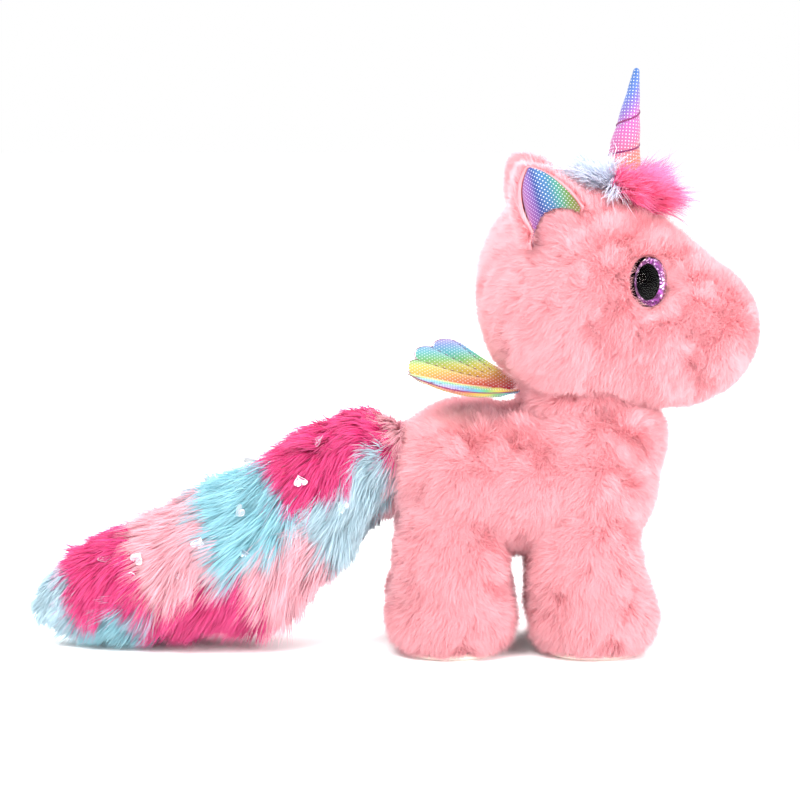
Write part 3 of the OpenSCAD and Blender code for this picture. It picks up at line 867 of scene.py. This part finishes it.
def sole(end, side):
    low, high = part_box(f"sole_{end}_{side}")
    centre = (low + high) / 2
    half, reach = (high.y - low.y) / 2, (high.x - low.x) / 2
    straight = reach - half
    rounds, spokes = 10, 96
    angles = np.linspace(0, 2 * math.pi, spokes, endpoint=False)
    outline = np.stack([np.sign(np.cos(angles)) * straight + half * np.cos(angles),
                        half * np.sin(angles)], 1)
    shares = np.concatenate([np.linspace(0.12, 1, rounds), np.linspace(1, 0.12, rounds)])
    heights = []
    for k, share in enumerate(shares):
        edge = soleShape["round"] * mm * (1 - math.sqrt(max(0.0, 1 - max(0.0, share - 0.9) ** 2 / 0.01)))
        heights.append(low.z + edge if k < rounds else high.z - edge)
    rings = [np.column_stack([outline * share, np.full(spokes, z)]) + (centre.x, centre.y, 0)
             for share, z in zip(shares, heights)]
    mesh = ringedMesh(f"sole {end} {side}", rings, (centre.x, centre.y, low.z), (centre.x, centre.y, high.z))
    piece = addPiece(f"sole{end.title()}{side.title()}", mesh, soleFelt)
    return fit(piece, f"sole_{end}_{side}", f"leg_{end}_{side}")


for end, side in legs:
    sole(end, side)
print("soles ready")

# Tail: a stuffed tail in bands of long shaggy pile

# stations down the tail: x, height, half height, half width, slope in degrees
tailStations = [(-8, 80, 17, 16, 28), (-14, 78, 22, 21, 32), (-25, 68, 28, 27, 36),
                (-42, 52, 34, 31, 32), (-60, 41, 36, 33, 22), (-80, 34.5, 31.5, 31, 18),
                (-103, 28, 26, 26, 14), (-121, 23.5, 21, 20, 12), (-133, 20, 14, 13, 14),
                (-141, 17, 5, 6, 16)]
tailShape = {"core": 0.62, "voxel": 2.6, "seam": (-0.2, 0.0, 0.15, 0.15), "combedOver": 8,
             "floor": 0.6, "puff": 1.0}
tailPile = {"strands": 170000, "length": 20, "spread": 0.2, "lean": 1.25, "stray": 0.22, "sag": 0.2,
            "clump": 60, "pull": 0.62, "levels": 4, "width": 0.5, "crimp": 0.5}
topCuts = [-9, -9, -43, -74, -106, -136]
underCuts = [-9, -42, -66, -108, -136]
topShags = [blushShag, pinkShag, cyanShag, blushShag, pinkShag]
underShags = [iceShag, blushShag, pinkShag, cyanShag]
stationTable = np.array(tailStations[::-1], float)


def alongTail(x, column):
    return np.interp(x, stationTable[:, 0], stationTable[:, column])


def tailCoordinates(points):
    # the station that each point belongs to, in mm, and how far up from the centre line, in half heights
    x, z = points[:, 0] / mm, points[:, 2] / mm
    station = x.copy()
    for _ in range(4):
        slope = np.radians(alongTail(station, 4))
        station = x + (z - alongTail(station, 1)) * np.tan(slope) * 0.9
    slope = np.radians(alongTail(station, 4))
    return station, (z - alongTail(station, 1)) / (alongTail(station, 2) * np.cos(slope))


def tailComb(points):
    # towards the tip, and falling down the sides
    station, up = tailCoordinates(points)
    slope = np.radians(alongTail(station, 4))
    return np.stack([-np.cos(slope), np.sign(points[:, 1]) * 0.15, -np.sin(slope) - 0.45], 1)


def tailReach(points):
    station, up = tailCoordinates(points)
    thick = alongTail(station, 2) / 36
    under = np.clip((up + 0.9) / 0.5, 0.45, 1)
    return np.clip(0.35 + 0.65 * thick, 0.4, 1) * under


def tailBlobs(share):
    blobs = []
    for first, second in zip(tailStations, tailStations[1:]):
        for t in (0, 0.5):
            x, z, up, wide, slope = [a + (b - a) * t for a, b in zip(first, second)]
            blobs.append(((x * mm, 0, z * mm), (12 * mm, wide * share * mm, up * share * mm), -slope))
    return blobs


tailSkin = softForm("tail skin", tailBlobs(tailShape["core"]), tailShape["voxel"] * mm, 6)
tailSkin = puff(tailSkin, tailShape["puff"] * mm)
skin, roots, out, strands = growOn(tailSkin, tailPile["strands"], tailComb, tailPile, 41, twirl=0.45,
                                   twirlSize=22, reach=tailReach)
# the strands that would pass through the ground are laid on it
height = strands["points"][:, 2]
floorLine = tailShape["floor"] * mm * (1 + strands["tint"])
strands["points"][:, 2] = np.where(height < floorLine, floorLine + (floorLine - height) * 0.02, height)


def tailPart(points, over):
    # band numbers: 1 to 5 over the top, 11 to 14 underneath, 20 the tip
    station, up = tailCoordinates(points)
    station = station - over
    top = np.digitize(-station, [-c for c in topCuts[1:-1]]) + 1
    under = np.digitize(-station, [-c for c in underCuts[1:-1]]) + 11
    seam = np.interp(station, [-147, -75, -45, -10], tailShape["seam"])
    part = np.where(up > seam, top, under)
    return np.where(station < topCuts[-1], 20, part)


skinPart = tailPart(skin[0][skin[1]].mean(1), tailShape["combedOver"])
rng = np.random.default_rng(43)
rootPart = tailPart(roots + rng.normal(size=roots.shape) * 1.2 * mm, tailShape["combedOver"])


def addBand(name, node, number, shag):
    points, triangles, normals = skin
    piece = furPiece(name, (points, triangles[skinPart == number], normals),
                     pick(strands, rootPart == number, tailPile), shag)
    return fit(piece, node, "tail")


for number, shag in enumerate(topShags, 1):
    addBand(f"tailTop{number}", f"tail_top_{number}", number, shag)
for number, shag in enumerate(underShags, 1):
    addBand(f"tailUnder{number}", f"tail_under_{number}", number + 10, shag)
addBand("tailTip", "tail_tip", 20, iceShag)
stuffing("tailFilling", tailBlobs(tailShape["core"] - 0.1), "tail_stuffing", "tail")

# the tail's root is its own stuffed ball, sewn to the rump
rootPile = dict(tailPile, strands=9000, length=13, clump=40)
rootLow, rootHigh = boxOf("tail_root")
rootBall = [(tuple((rootLow + rootHigh) / 2), tuple((rootHigh - rootLow) / 2 - 3.5 * mm), 0)]
rootSkin = softForm("root skin", rootBall, 2.2 * mm, 3)
skin, roots, out, strands = growOn(rootSkin, rootPile["strands"], tailComb, rootPile, 47)
fit(furPiece("tailRoot", skin, strands, blushShag), "tail_root", "tail_root")
print("tail ready")

# Heart sequins: dished film, caught in the tail's pile

# place along the tail and turn round it from its top, one pair for each heart
sequinSpots = [(-22, -40), (-46, -18), (-33, -62), (-58, -58), (-78, -66), (-62, -84), (-44, -88),
               (-88, -88), (-108, -78), (-104, -60), (-27, -100), (-118, -50), (-30, 30), (-52, 62),
               (-70, 28), (-92, 50), (-112, 74), (-40, 96), (-76, 92), (-124, 20)]
sequinShape = {"length": 5.4, "thickness": 0.12, "dish": 0.5, "sunk": 0.5, "tilt": 22}


def heartMesh(place):
    # a filled heart in rings from its middle, dished, with a thin edge
    spokes, rounds = 48, 6
    t = np.linspace(0, 2 * math.pi, spokes, endpoint=False)
    across = 16 * np.sin(t) ** 3
    up = 13 * np.cos(t) - 5 * np.cos(2 * t) - 2 * np.cos(3 * t) - np.cos(4 * t)
    outline = np.stack([across, up + 2.5], 1) * sequinShape["length"] / 29
    shares = np.arange(1, rounds + 1) / rounds
    edge = sequinShape["thickness"] / 2
    # out over the upper face, then back in over the lower one
    rings = [np.column_stack([outline * share, np.full(spokes, sequinShape["dish"] * share ** 2 + face)]) * mm
             for face, way in ((edge, shares), (-edge, shares[::-1])) for share in way]
    mesh = ringedMesh("heart", rings, (0, 0, edge * mm), (0, 0, -edge * mm))
    mesh.transform(place)
    return mesh


rng = np.random.default_rng(51)
hearts = []
for x, turn in sequinSpots:
    slope = math.radians(alongTail(x, 4))
    frameAlong = Matrix.Rotation(math.radians(-90) - slope, 4, "Y")
    spin = math.radians(turn)
    reachOut = Vector((math.cos(spin) * (alongTail(x, 2) - sequinShape["sunk"]),
                       math.sin(spin) * (alongTail(x, 3) - sequinShape["sunk"]), 0))
    lean = Matrix.Rotation(math.radians(rng.normal() * sequinShape["tilt"]), 4, "Y")
    lean = lean @ Matrix.Rotation(math.radians(rng.normal() * sequinShape["tilt"]), 4, "X")
    facing = Matrix.Rotation(spin, 4, "Z") @ Matrix.Rotation(math.radians(90), 4, "Y") @ lean
    facing = facing @ Matrix.Rotation(rng.uniform(0, 6.28), 4, "Z")
    place = Matrix.Translation((x * mm, 0, alongTail(x, 1) * mm)) @ frameAlong
    place = place @ Matrix.Translation(reachOut * mm)
    hearts.append(addPiece("heart", heartMesh(place @ facing), sequinFilm))
fit(joined("tailSequins", hearts), "tail_sequins", "tail")
print("sequins ready")


# Foil cloth parts: ears, horn and wings

def sheetBetween(outer, inner, wrap=False):
    # closed thin cloth from two matching grids of points; wrap joins the last column to the first
    rows, columns = outer.shape[:2]
    points = np.concatenate([outer.reshape(-1, 3), inner.reshape(-1, 3)])
    across = columns if wrap else columns - 1
    i, j = [g.ravel() for g in np.meshgrid(np.arange(rows - 1), np.arange(across), indexing="ij")]
    a, b = i * columns + j, i * columns + (j + 1) % columns
    c, d = a + columns, b + columns
    shift = rows * columns
    faces = [np.stack([a, b, d], 1), np.stack([a, d, c], 1),
             np.stack([a, d, b], 1) + shift, np.stack([a, c, d], 1) + shift]
    top = np.arange(across)
    topNext = (top + 1) % columns
    last = (rows - 1) * columns
    edges = [(top, topNext), (topNext + last, top + last)]
    if not wrap:
        left = np.arange(rows - 1) * columns
        right = left + columns - 1
        edges += [(left + columns, left), (right, right + columns)]
    for p, q in edges:
        faces += [np.stack([p, q + shift, q], 1), np.stack([p, p + shift, q + shift], 1)]
    return points, np.concatenate(faces)


def clothMesh(name, points, faces, cloth):
    mesh = meshFromTriangles(name, points, faces)
    faceOut(mesh, 1e-6)
    # the cloth's own coordinates, looked up again for the points that are left
    tree = kdtree.KDTree(len(points))
    for k, point in enumerate(points):
        tree.insert(point, k)
    tree.balance()
    kept = np.array([tree.find(v.co)[1] for v in mesh.vertices])
    setAttribute(mesh, "cloth", cloth[kept])
    smoothFaces(mesh, 50)
    return mesh


# the printed colours: across the ear from its rear edge, up the horn, and across the wing
earPrint = [(0.0, "#d86fae"), (0.24, "#c06cc0"), (0.4, "#8f62c4"), (0.48, "#3350ac"), (0.62, "#3f8fc8"),
            (0.74, "#4fb8a0"), (0.86, "#84b850"), (1.0, "#a8a040")]
hornPrint = [(0.0, "#f7b860"), (0.16, "#f79a6c"), (0.34, "#f07fb0"), (0.55, "#d873c4"), (0.68, "#9a78cf"),
             (0.82, "#6a86d6"), (1.0, "#4f7fc8")]
wingPrint = [(0.0, "#e8405a"), (0.14, "#f4865a"), (0.3, "#f6c85c"), (0.44, "#e4e466"), (0.56, "#86d884"),
             (0.7, "#66cfd6"), (0.84, "#7fa8ea"), (1.0, "#c49ce0")]
earFoil = foilCloth("ear foil", earPrint)
hornFoil = foilCloth("horn foil", hornPrint)
wingFoil = foilCloth("wing foil", wingPrint, 1.5)

# lengths in mm; lean, tipBack and turn in degrees; fold is a share of the cup's radius
earShape = {"cup": 12.5, "axis": 7.5, "tip": 20, "low": 18, "width": 25, "seat": (57.5, 34.5, 180),
            "lean": 16, "tipBack": 13, "turn": 32, "lining": 0.7, "backing": 1.4, "headClear": 0.5,
            "fold": 0.12, "cut": {"width": 37, "length": 38, "share": 0.5}}
earPile = dict(headPile, strands=50000, length=4.6, lean=0.9, clump=150, stray=0.3)


def earPlace(side):
    sign = sides[side]
    x, y, z = earShape["seat"]
    return (Matrix.Diagonal((1, sign, 1, 1)) @ Matrix.Translation((x * mm, y * mm, z * mm))
            @ Matrix.Rotation(math.radians(-earShape["tipBack"]), 4, "Y")
            @ Matrix.Rotation(math.radians(-earShape["lean"]), 4, "X")
            @ Matrix.Rotation(math.radians(90 - earShape["turn"]), 4, "Z"))


def through(place, points):
    turn = np.array(place.to_3x3())
    return points @ turn.T + np.array(place.translation)


def earGrid(radius, rows=46, columns=61):
    # a cupped leaf: rows up the ear, columns round its hollow
    bend = (earShape["tip"] ** 2 + earShape["width"] ** 2 / 4) / earShape["width"]
    rise = np.linspace(0, 1, rows)
    h = -earShape["low"] + (earShape["tip"] + earShape["low"]) * (1 - (1 - rise) ** 1.25)
    half = np.sqrt(np.maximum(bend ** 2 - h ** 2, 0)) - (bend - earShape["width"] / 2)
    half = np.clip(half, 0.02, None)
    # the sewn tip is rounded, and the leaf opens a little above its middle
    half = np.maximum(half, 3.0 * np.sqrt(np.clip((earShape["tip"] - h) / 3.0, 0.0004, 1)) * (h > 15))
    turn = np.arcsin(np.clip(half / earShape["cup"], 0, 1))[:, None] * np.linspace(-1, 1, columns)[None]
    tall = np.repeat(h[:, None], columns, 1)
    # folded a little in front of its middle
    fold = radius * (1 + earShape["fold"] * np.exp(-((turn + 0.25) / 0.3) ** 2))
    grid = np.stack([earShape["axis"] - fold * np.cos(turn), fold * np.sin(turn), tall], 2) * mm
    return grid, turn, tall


def outsideHead(points, clear):
    # away from the skull's rounded surface by clear mm
    keep = np.ones(len(points), bool)
    for centre, radii in headMasses:
        scaled = (points / mm - centre) / (np.array(radii) + clear)
        keep &= (scaled ** 2).sum(1) > 1
    return keep


for side, sign in sides.items():
    place = earPlace(side)
    inner, turn, tall = earGrid(earShape["cup"] - earShape["lining"])
    outer = earGrid(earShape["cup"])[0]
    back = earGrid(earShape["cup"] + earShape["backing"])[0]
    # forward edge of the hollow at 1, rearward edge at 0
    share = 0.44 - 0.6 * turn / (math.pi / 2) + 0.04 * (tall - 6) / 20
    cloth = np.stack([turn * earShape["cup"], tall, np.clip(share, 0, 1)], 2).reshape(-1, 3)
    # the lining is one layer: only the faces of the inner grid are kept
    points, faces = sheetBetween(inner, outer)
    points = through(place, points[:inner.shape[0] * inner.shape[1]])
    faces = faces[(faces < len(points)).all(1)]
    faces = faces[outsideHead(points[faces].mean(1), earShape["headClear"])]
    mesh = clothMesh(f"ear lining {side}", points, faces, cloth)
    lining = addPiece(f"earLining{side.title()}", mesh, earFoil)
    fit(lining, f"ear_lining_{side}", f"ear_{side}")
    points, faces = sheetBetween(outer + (outer - inner) * 0.02, back)
    points = through(place, points)
    faces = faces[outsideHead(points[faces].mean(1), earShape["headClear"])]
    earMesh = meshFromTriangles("ear back", points, faces)
    faceOut(earMesh)
    middle = np.array(place @ Vector((earShape["axis"] * mm, 0, 6 * mm)))
    upward = np.array(place.to_3x3() @ Vector((0, 0, 1)))
    hollow = np.array(place.to_3x3() @ Vector((1, 0, 0)))
    skin, roots, out, strands = growOn(earMesh, earPile["strands"], lambda p: upward - 0.3 * hollow + 0 * p,
                                       earPile, 61 + sign, twirl=0.4)
    # none grow inside the hollow
    spoke = roots - middle
    spoke -= np.outer(spoke @ upward, upward)
    keep = (out * unit(spoke)).sum(1) > 0.3
    ear = furPiece(f"earPlush{side.title()}", skin, pick(strands, keep, earPile), pinkPlush)
    fit(ear, f"ear_plush_{side}", f"ear_{side}")
print("ears ready")

# Horn: foil cloth over stuffing, drawn in by a thread wound up it

hornShape = {"seat": (88.5, 0, 189.5), "lean": 8, "height": 48, "root": 8.6, "tip": 1.1, "pitch": 13,
             "start": -130, "bulge": 0.75, "thread": 0.36, "sunk": 0.2, "below": 3, "bare": 15, "cap": 1.2,
             "cloth": 0.5, "cut": {"width": 56, "length": 52, "share": 0.55}}
hornPlace = (Matrix.Translation(Vector(hornShape["seat"]) * mm)
             @ Matrix.Rotation(math.radians(hornShape["lean"]), 4, "Y"))


def hornRadius(angle, z):
    # fullest half way between two turns of the thread
    plain = hornShape["root"] + (hornShape["tip"] - hornShape["root"]) * z / hornShape["height"]
    phase = (z / hornShape["pitch"] - (np.degrees(angle) - hornShape["start"]) / 360) % 1
    pull = 1 - np.minimum(1, np.abs(np.minimum(phase, 1 - phase)) / 0.5) ** 0.5
    wound = np.clip((z - 0.5) / 3, 0, 1) * np.clip((hornShape["height"] - 6 - z) / 4, 0, 1)
    return plain + hornShape["bulge"] * plain / 8 * (0.35 - pull * 1.2) * wound


spokes, rows = 120, 160
cap = hornShape["cap"]
shoulder = hornShape["height"] - cap  # where the rounded tip begins
angles = np.linspace(0, 2 * math.pi, spokes, endpoint=False)
heights = np.concatenate([np.linspace(-hornShape["below"], shoulder, rows),
                          shoulder + cap * np.sin(np.linspace(0.2, math.pi / 2, 6))])
angleGrid, heightGrid = np.meshgrid(angles, heights)
outerRadius = hornRadius(angleGrid, np.clip(heightGrid, 0, hornShape["height"]))
overTip = np.clip((heightGrid - shoulder) / cap, 0, 1)
outerRadius = outerRadius * np.sqrt(np.maximum(1 - overTip ** 2, 0.0004))
innerRadius = np.maximum(outerRadius - hornShape["cloth"], outerRadius * 0.5)
outer, inner = [np.stack([radius * np.cos(angleGrid), radius * np.sin(angleGrid), high], 2) * mm
                for radius, high in ((outerRadius, heightGrid), (innerRadius, heightGrid - 0.15))]
points, faces = sheetBetween(outer, inner, wrap=True)
share = heightGrid / hornShape["height"] - 0.1 * np.cos(angleGrid)
# the dots keep their size: round the horn the cloth narrows, so they are laid out on the flat fan
narrowing = hornShape["root"] - hornShape["tip"]
fan = np.hypot(narrowing, hornShape["height"]) / narrowing
slant = (hornShape["height"] - heightGrid) + hornShape["tip"] * fan
spread = angleGrid / fan
cloth = np.stack([slant * np.sin(spread), slant * np.cos(spread), np.clip(share, 0, 1)], 2).reshape(-1, 3)
mesh = clothMesh("horn cover", through(hornPlace, points), faces, np.concatenate([cloth, cloth]))
hornCover = addPiece("hornCover", mesh, hornFoil)
fit(hornCover, "horn_cover", "horn")


def tube(name, line, radius, material, around=10):
    # a round thread along a line of points
    line = np.array(line)
    way = unit(np.gradient(line, axis=0))
    side = unit(np.cross(way, [0.13, 0.21, 1.0]))
    up = np.cross(side, way)
    turn = np.linspace(0, 2 * math.pi, around, endpoint=False)
    taper = np.clip(np.minimum(np.arange(len(line)), np.arange(len(line))[::-1]) / 3 + 0.1, 0, 1)
    round = side[:, None] * np.cos(turn)[None, :, None] + up[:, None] * np.sin(turn)[None, :, None]
    rings = line[:, None] + round * (radius * taper)[:, None, None]
    count = len(line)
    i, j = [g.ravel() for g in np.meshgrid(np.arange(count - 1), np.arange(around), indexing="ij")]
    a, b = i * around + j, i * around + (j + 1) % around
    faces = [np.stack([a, b, b + around], 1), np.stack([a, b + around, a + around], 1)]
    fanned = np.arange(1, around - 1)
    faces += [np.stack([0 * fanned, fanned + 1, fanned], 1),
              np.stack([0 * fanned, fanned, fanned + 1], 1) + (count - 1) * around]
    mesh = meshFromTriangles(name, rings.reshape(-1, 3), np.concatenate(faces))
    smoothFaces(mesh)
    return addPiece(name, mesh, material)


climb = np.linspace(1.5, hornShape["height"] - hornShape["bare"], 420)
turn = np.radians(360 * climb / hornShape["pitch"] + hornShape["start"])
reach = hornRadius(turn, climb) + hornShape["thread"] - hornShape["sunk"]
thread = through(hornPlace, np.stack([reach * np.cos(turn), reach * np.sin(turn), climb], 1) * mm)
fit(tube("hornThread", thread, hornShape["thread"] * mm, darkThread), "horn_thread", "horn")
hornFilling = []
for k in range(7):
    rise = k / 6
    radius = (hornShape["root"] * (1 - rise) + 2.2 * rise - 1.6) * mm
    spot = hornPlace @ Vector((0, 0, (1 + 33 * rise) * mm))
    hornFilling.append((tuple(spot), (radius, radius, 7 * mm), hornShape["lean"]))
stuffing("hornFilling", hornFilling, "horn_stuffing", "horn", voxel=1.4, lump=0.15)
print("horn ready")

# Wings: feathers of foil cloth, quilted over batting

wingShape = {"root": (43, 13, 106), "length": 33, "round": 8, "rootRound": 5, "pitch": 8,
             "lift": {"left": 30, "right": 6}, "feathers": ((3, 1.0), (22, 0.98), (42, 0.92)),
             "stitches": (12.5, 32.0, 52.0), "batting": 2.0, "cloth": 0.5, "puff": 1.3, "curl": 2.2,
             "thread": 0.22, "battingReach": 0.93, "battingShare": 0.55,
             "cut": {"width": 36, "length": 42, "share": 0.76}}


def wingReach(angle):
    # distance from the root to the outline in each direction, in degrees from straight back
    steps = np.linspace(0, 46, 461)
    x = np.outer(np.cos(np.radians(angle)), steps)
    y = np.outer(np.sin(np.radians(angle)), steps)
    inside = np.zeros_like(x, bool)
    for turnOut, share in wingShape["feathers"]:
        c, s = math.cos(math.radians(turnOut)), math.sin(math.radians(turnOut))
        length = wingShape["length"] * share
        on = np.clip((x * c + y * s) / length, 0, 1)
        gapTo = np.hypot(x - on * length * c, y - on * length * s)
        inside |= gapTo < wingShape["rootRound"] + (wingShape["round"] * share - wingShape["rootRound"]) * on
    return (inside * steps[None]).max(1)


def wingCurl(x):
    # the wing curls up at its rear tip and at the front corner
    return wingShape["curl"] * (((x - 17) / 20) ** 2 - 0.45)


def wingPoints(angle, share, level):
    # level runs from -1, the under cloth's face, to 1, the top cloth's face
    reach = wingReach(np.degrees(angle))
    x = reach[None] * np.cos(angle)[None] * share[:, None]
    y = reach[None] * np.sin(angle)[None] * share[:, None]
    away = reach[None] * share[:, None]
    full = (1 - np.clip(share, 0, 1) ** 5)[:, None] * np.clip(away / 9, 0.3, 1)
    groove = np.ones_like(x)
    for stitch in wingShape["stitches"]:
        off = np.abs(x * math.sin(math.radians(stitch)) - y * math.cos(math.radians(stitch)))
        along = x * math.cos(math.radians(stitch)) + y * math.sin(math.radians(stitch))
        near = np.exp(-(off / 1.5) ** 2) * (along > 8)
        groove *= 1 - 0.75 * near
    thick = wingShape["batting"] / 2 * (0.25 + 0.75 * full) + wingShape["puff"] * full * groove
    return np.stack([-x, y, wingCurl(x) + thick * level], 2)


def wingPlace(side):
    return (Matrix.Diagonal((1, sides[side], 1, 1)) @ Matrix.Translation(Vector(wingShape["root"]) * mm)
            @ Matrix.Rotation(math.radians(wingShape["lift"][side]), 4, "X")
            @ Matrix.Rotation(math.radians(wingShape["pitch"]), 4, "Y"))


def stitchLine(angle, level, share):
    # points straight out from the wing's root, in mm
    return wingPoints(np.array([math.radians(angle)]), share, level)[:, 0]


angles = np.linspace(0, 2 * math.pi, 240, endpoint=False)
shares = np.concatenate([np.linspace(0.0, 0.9, 30), np.linspace(0.915, 1, 10)])
shares[0] = 0.01
for side in sides:
    place = wingPlace(side)
    for layer, level in (("top", 1), ("under", -1)):
        face = wingPoints(angles, shares, level)
        lower = face - np.array([0, 0, level * wingShape["cloth"]])
        points, faces = sheetBetween(face * mm, lower * mm, wrap=True)
        flatX, flatY = -face[:, :, 0], face[:, :, 1]
        # the print's rainbow runs across the wing, from the body out to the leading edge
        bands = 0.1 + (flatY * 0.86 + flatX * 0.24) / 34
        if layer == "under":
            bands = 0.95 - bands * 0.9
        cloth = np.stack([flatX, flatY, np.clip(bands, 0, 1)], 2).reshape(-1, 3)
        mesh = clothMesh(f"wing {layer} {side}", through(place, points), faces,
                         np.concatenate([cloth, cloth]))
        piece = addPiece(f"wing{layer.title()}{side.title()}", mesh, wingFoil)
        if layer == "top":
            # dark running stitches, and ticks over the edge at the notches
            lines = []
            for stitch in wingShape["stitches"]:
                line = stitchLine(stitch, 1.02, np.linspace(0.28, 0.97, 60)) + (0, 0, 0.05)
                lines += [line[first:first + 6] for first in range(0, 56, 8)]
                tick = stitchLine(stitch, 1, np.array([0.93, 0.97, 1.0, 1.03, 1.03]))
                tick[:, 2] += (0.1, 0.2, 0.1, -0.6, -1.8)
                lines.append(tick)
            # the seam's thread runs round the edge and stops short of the root
            seam = wingPoints(angles, np.array([1.0]), 0)[0]
            lines.append(seam[np.r_[200:240, 0:70]] * (1.012, 1.012, 1))
            threads = [tube("stitch", through(place, line * mm), wingShape["thread"] * mm, darkThread, 6)
                       for line in lines]
            stitches = joined(f"wingStitches{side.title()}", threads)
            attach(stitches, f"wing_{side}")
        fit(piece, f"wing_{layer}_{side}", f"wing_{side}")
    # the batting fills just over half the room between the two cloths, and stops short of the edge
    upper, lower = [wingPoints(angles, shares * wingShape["battingReach"], level) for level in (1, -1)]
    middle = (upper + lower) / 2
    upper, lower = [(middle + (face - middle) * wingShape["battingShare"]) * mm for face in (upper, lower)]
    points, faces = sheetBetween(upper, lower, wrap=True)
    mesh = meshFromTriangles(f"batting {side}", through(place, points), faces)
    faceOut(mesh)
    batting = addPiece(f"wingBatting{side.title()}", mesh, wadding)
    fit(batting, f"wing_batting_{side}", f"wing_{side}")
print("wings ready")

# Forelock: long glossy pile, white behind the horn and pink before it

tuftPile = {"spread": 0.25, "stray": 0.42, "clump": 50, "pull": 0.72, "levels": 6, "width": 0.45,
            "crimp": 0.9}
tuftShape = {"pink": {"front": True, "length": 20, "strands": 7000, "lean": 0.9, "sag": 0.0, "back": 6,
                      "rise": 1.1, "fan": 88, "reach": 17},
             "white": {"front": False, "length": 18, "strands": 5000, "lean": 0.55, "sag": 0.02, "back": -2,
                       "rise": 0.6, "fan": 74, "reach": 15}}
tuftMaterials = {"pink": pinkTuft, "white": whiteTuft}
patchShape = {"rings": (10.5, 12.5, 14.5, 16), "arc": 1.5, "half": 0.4}  # arc in radians each way
hornSeat = np.array(hornShape["seat"]) * mm


def crownHeight(points):
    # how high the head's backing is under each point, from the skull and the muzzle
    height = np.zeros(len(points))
    for centre, radii in headMasses[:2]:
        centre, size = np.array(centre) * mm, (np.array(radii) - 3) * mm
        flat = 1 - ((points[:, 0] - centre[0]) / size[0]) ** 2 - ((points[:, 1] - centre[1]) / size[1]) ** 2
        height = np.maximum(height, centre[2] + size[2] * np.sqrt(np.clip(flat, 0, 1)))
    return height


for color, shape in tuftShape.items():
    pile = dict(tuftPile, **{key: shape[key] for key in ("strands", "length", "lean", "sag")})
    rng = np.random.default_rng(71 if shape["front"] else 73)
    count = pile["strands"]
    # rooted on a crescent of backing laid on the crown round the horn
    spin = rng.uniform(-1, 1, count) * math.radians(shape["fan"]) + (0 if shape["front"] else math.pi)
    away = np.sqrt(rng.uniform(0.2, 1, count)) * shape["reach"] * mm
    roots = hornSeat + np.stack([np.cos(spin) * away - shape["back"] * mm, np.sin(spin) * away,
                                 np.zeros(count)], 1)
    roots[:, 2] = crownHeight(roots)
    out = unit(np.stack([np.cos(spin) * 0.35 + 0.1, np.sin(spin) * 0.35, np.ones(count)], 1))
    comb = np.stack([np.cos(spin), np.sin(spin), -0.1 + 0 * spin], 1) + swirl(roots, 9 * mm, 75) * 0.35
    comb[:, 0] += 0.5 if shape["front"] else 0.3
    comb[:, 2] += shape["rise"]
    strands = growPile(roots, out, comb, pile, rng)
    # a small woven patch holds the roots
    arc = np.linspace(-patchShape["arc"], patchShape["arc"], 25)
    patch = np.column_stack([np.cos(arc) * (1 if shape["front"] else -1), np.sin(arc), np.zeros(25)])
    rings = [hornSeat + patch * r * mm for r in patchShape["rings"]]
    for ring in rings:
        ring[:, 2] = crownHeight(ring)
    grid, half = np.array(rings), (0, 0, patchShape["half"] * mm)
    points, faces = sheetBetween(grid + half, grid - half)
    skin = readMesh(meshFromTriangles("patch", points, faces))
    tuft = furPiece(f"forelock{color.title()}", skin, strands, tuftMaterials[color])
    fit(tuft, f"forelock_{color}", "head")
print("forelock ready")


# Floor, light and camera

stageShape = {"camera": 1.4, "elevation": 8.0, "target": (-0.6, 0, 101.4), "lens": 153.7}
floorMesh = bpy.data.meshes.new("floor")
bm = bmesh.new()
bmesh.ops.create_grid(bm, x_segments=1, y_segments=1, size=3)
bm.to_mesh(floorMesh)
bm.free()
paper, tree, shader = startMaterial("white paper")
shader.inputs["Base Color"].default_value = linear("#fbfbfb")
shader.inputs["Roughness"].default_value = 0.9
floor = addPiece("floor", floorMesh, paper)

world = bpy.data.worlds.new("studio")
bpy.context.scene.world = world
world.use_nodes = True
world.node_tree.nodes["Background"].inputs["Color"].default_value = linear("#ffffff")
world.node_tree.nodes["Background"].inputs["Strength"].default_value = 1.0


def softbox(name, spot, size, power):
    lamp = bpy.data.lights.new(name, "AREA")
    lamp.shape = "DISK"
    lamp.size = size
    lamp.energy = power
    box = bpy.data.objects.new(name, lamp)
    box.visible_glossy = False
    box.location = spot
    box.rotation_euler = (Vector((0, 0, 0.09)) - Vector(spot)).to_track_quat("-Z", "Y").to_euler()
    bpy.context.scene.collection.objects.link(box)


# name, place and width in metres, power in watts
lamps = [("key", (-0.5, -1.0, 1.3), 0.9, 30), ("fill", (0.9, -1.0, 0.5), 0.9, 24),
         ("top", (0.0, 0.3, 1.6), 1.2, 14), ("back", (0.3, 1.1, 0.9), 0.9, 22),
         ("behind", (-1.1, 0.5, 0.7), 0.9, 12)]
for lamp in lamps:
    softbox(*lamp)

camera = bpy.data.objects.new("camera", bpy.data.cameras.new("camera"))
bpy.context.scene.collection.objects.link(camera)
target = Vector(stageShape["target"]) * mm
tip = math.radians(stageShape["elevation"])
camera.location = target + Vector((0, -math.cos(tip), math.sin(tip))) * stageShape["camera"]
camera.rotation_euler = (target - camera.location).to_track_quat("-Z", "Y").to_euler()
camera.data.lens = stageShape["lens"]
bpy.context.scene.camera = camera
bpy.context.scene.view_settings.view_transform = "Standard"
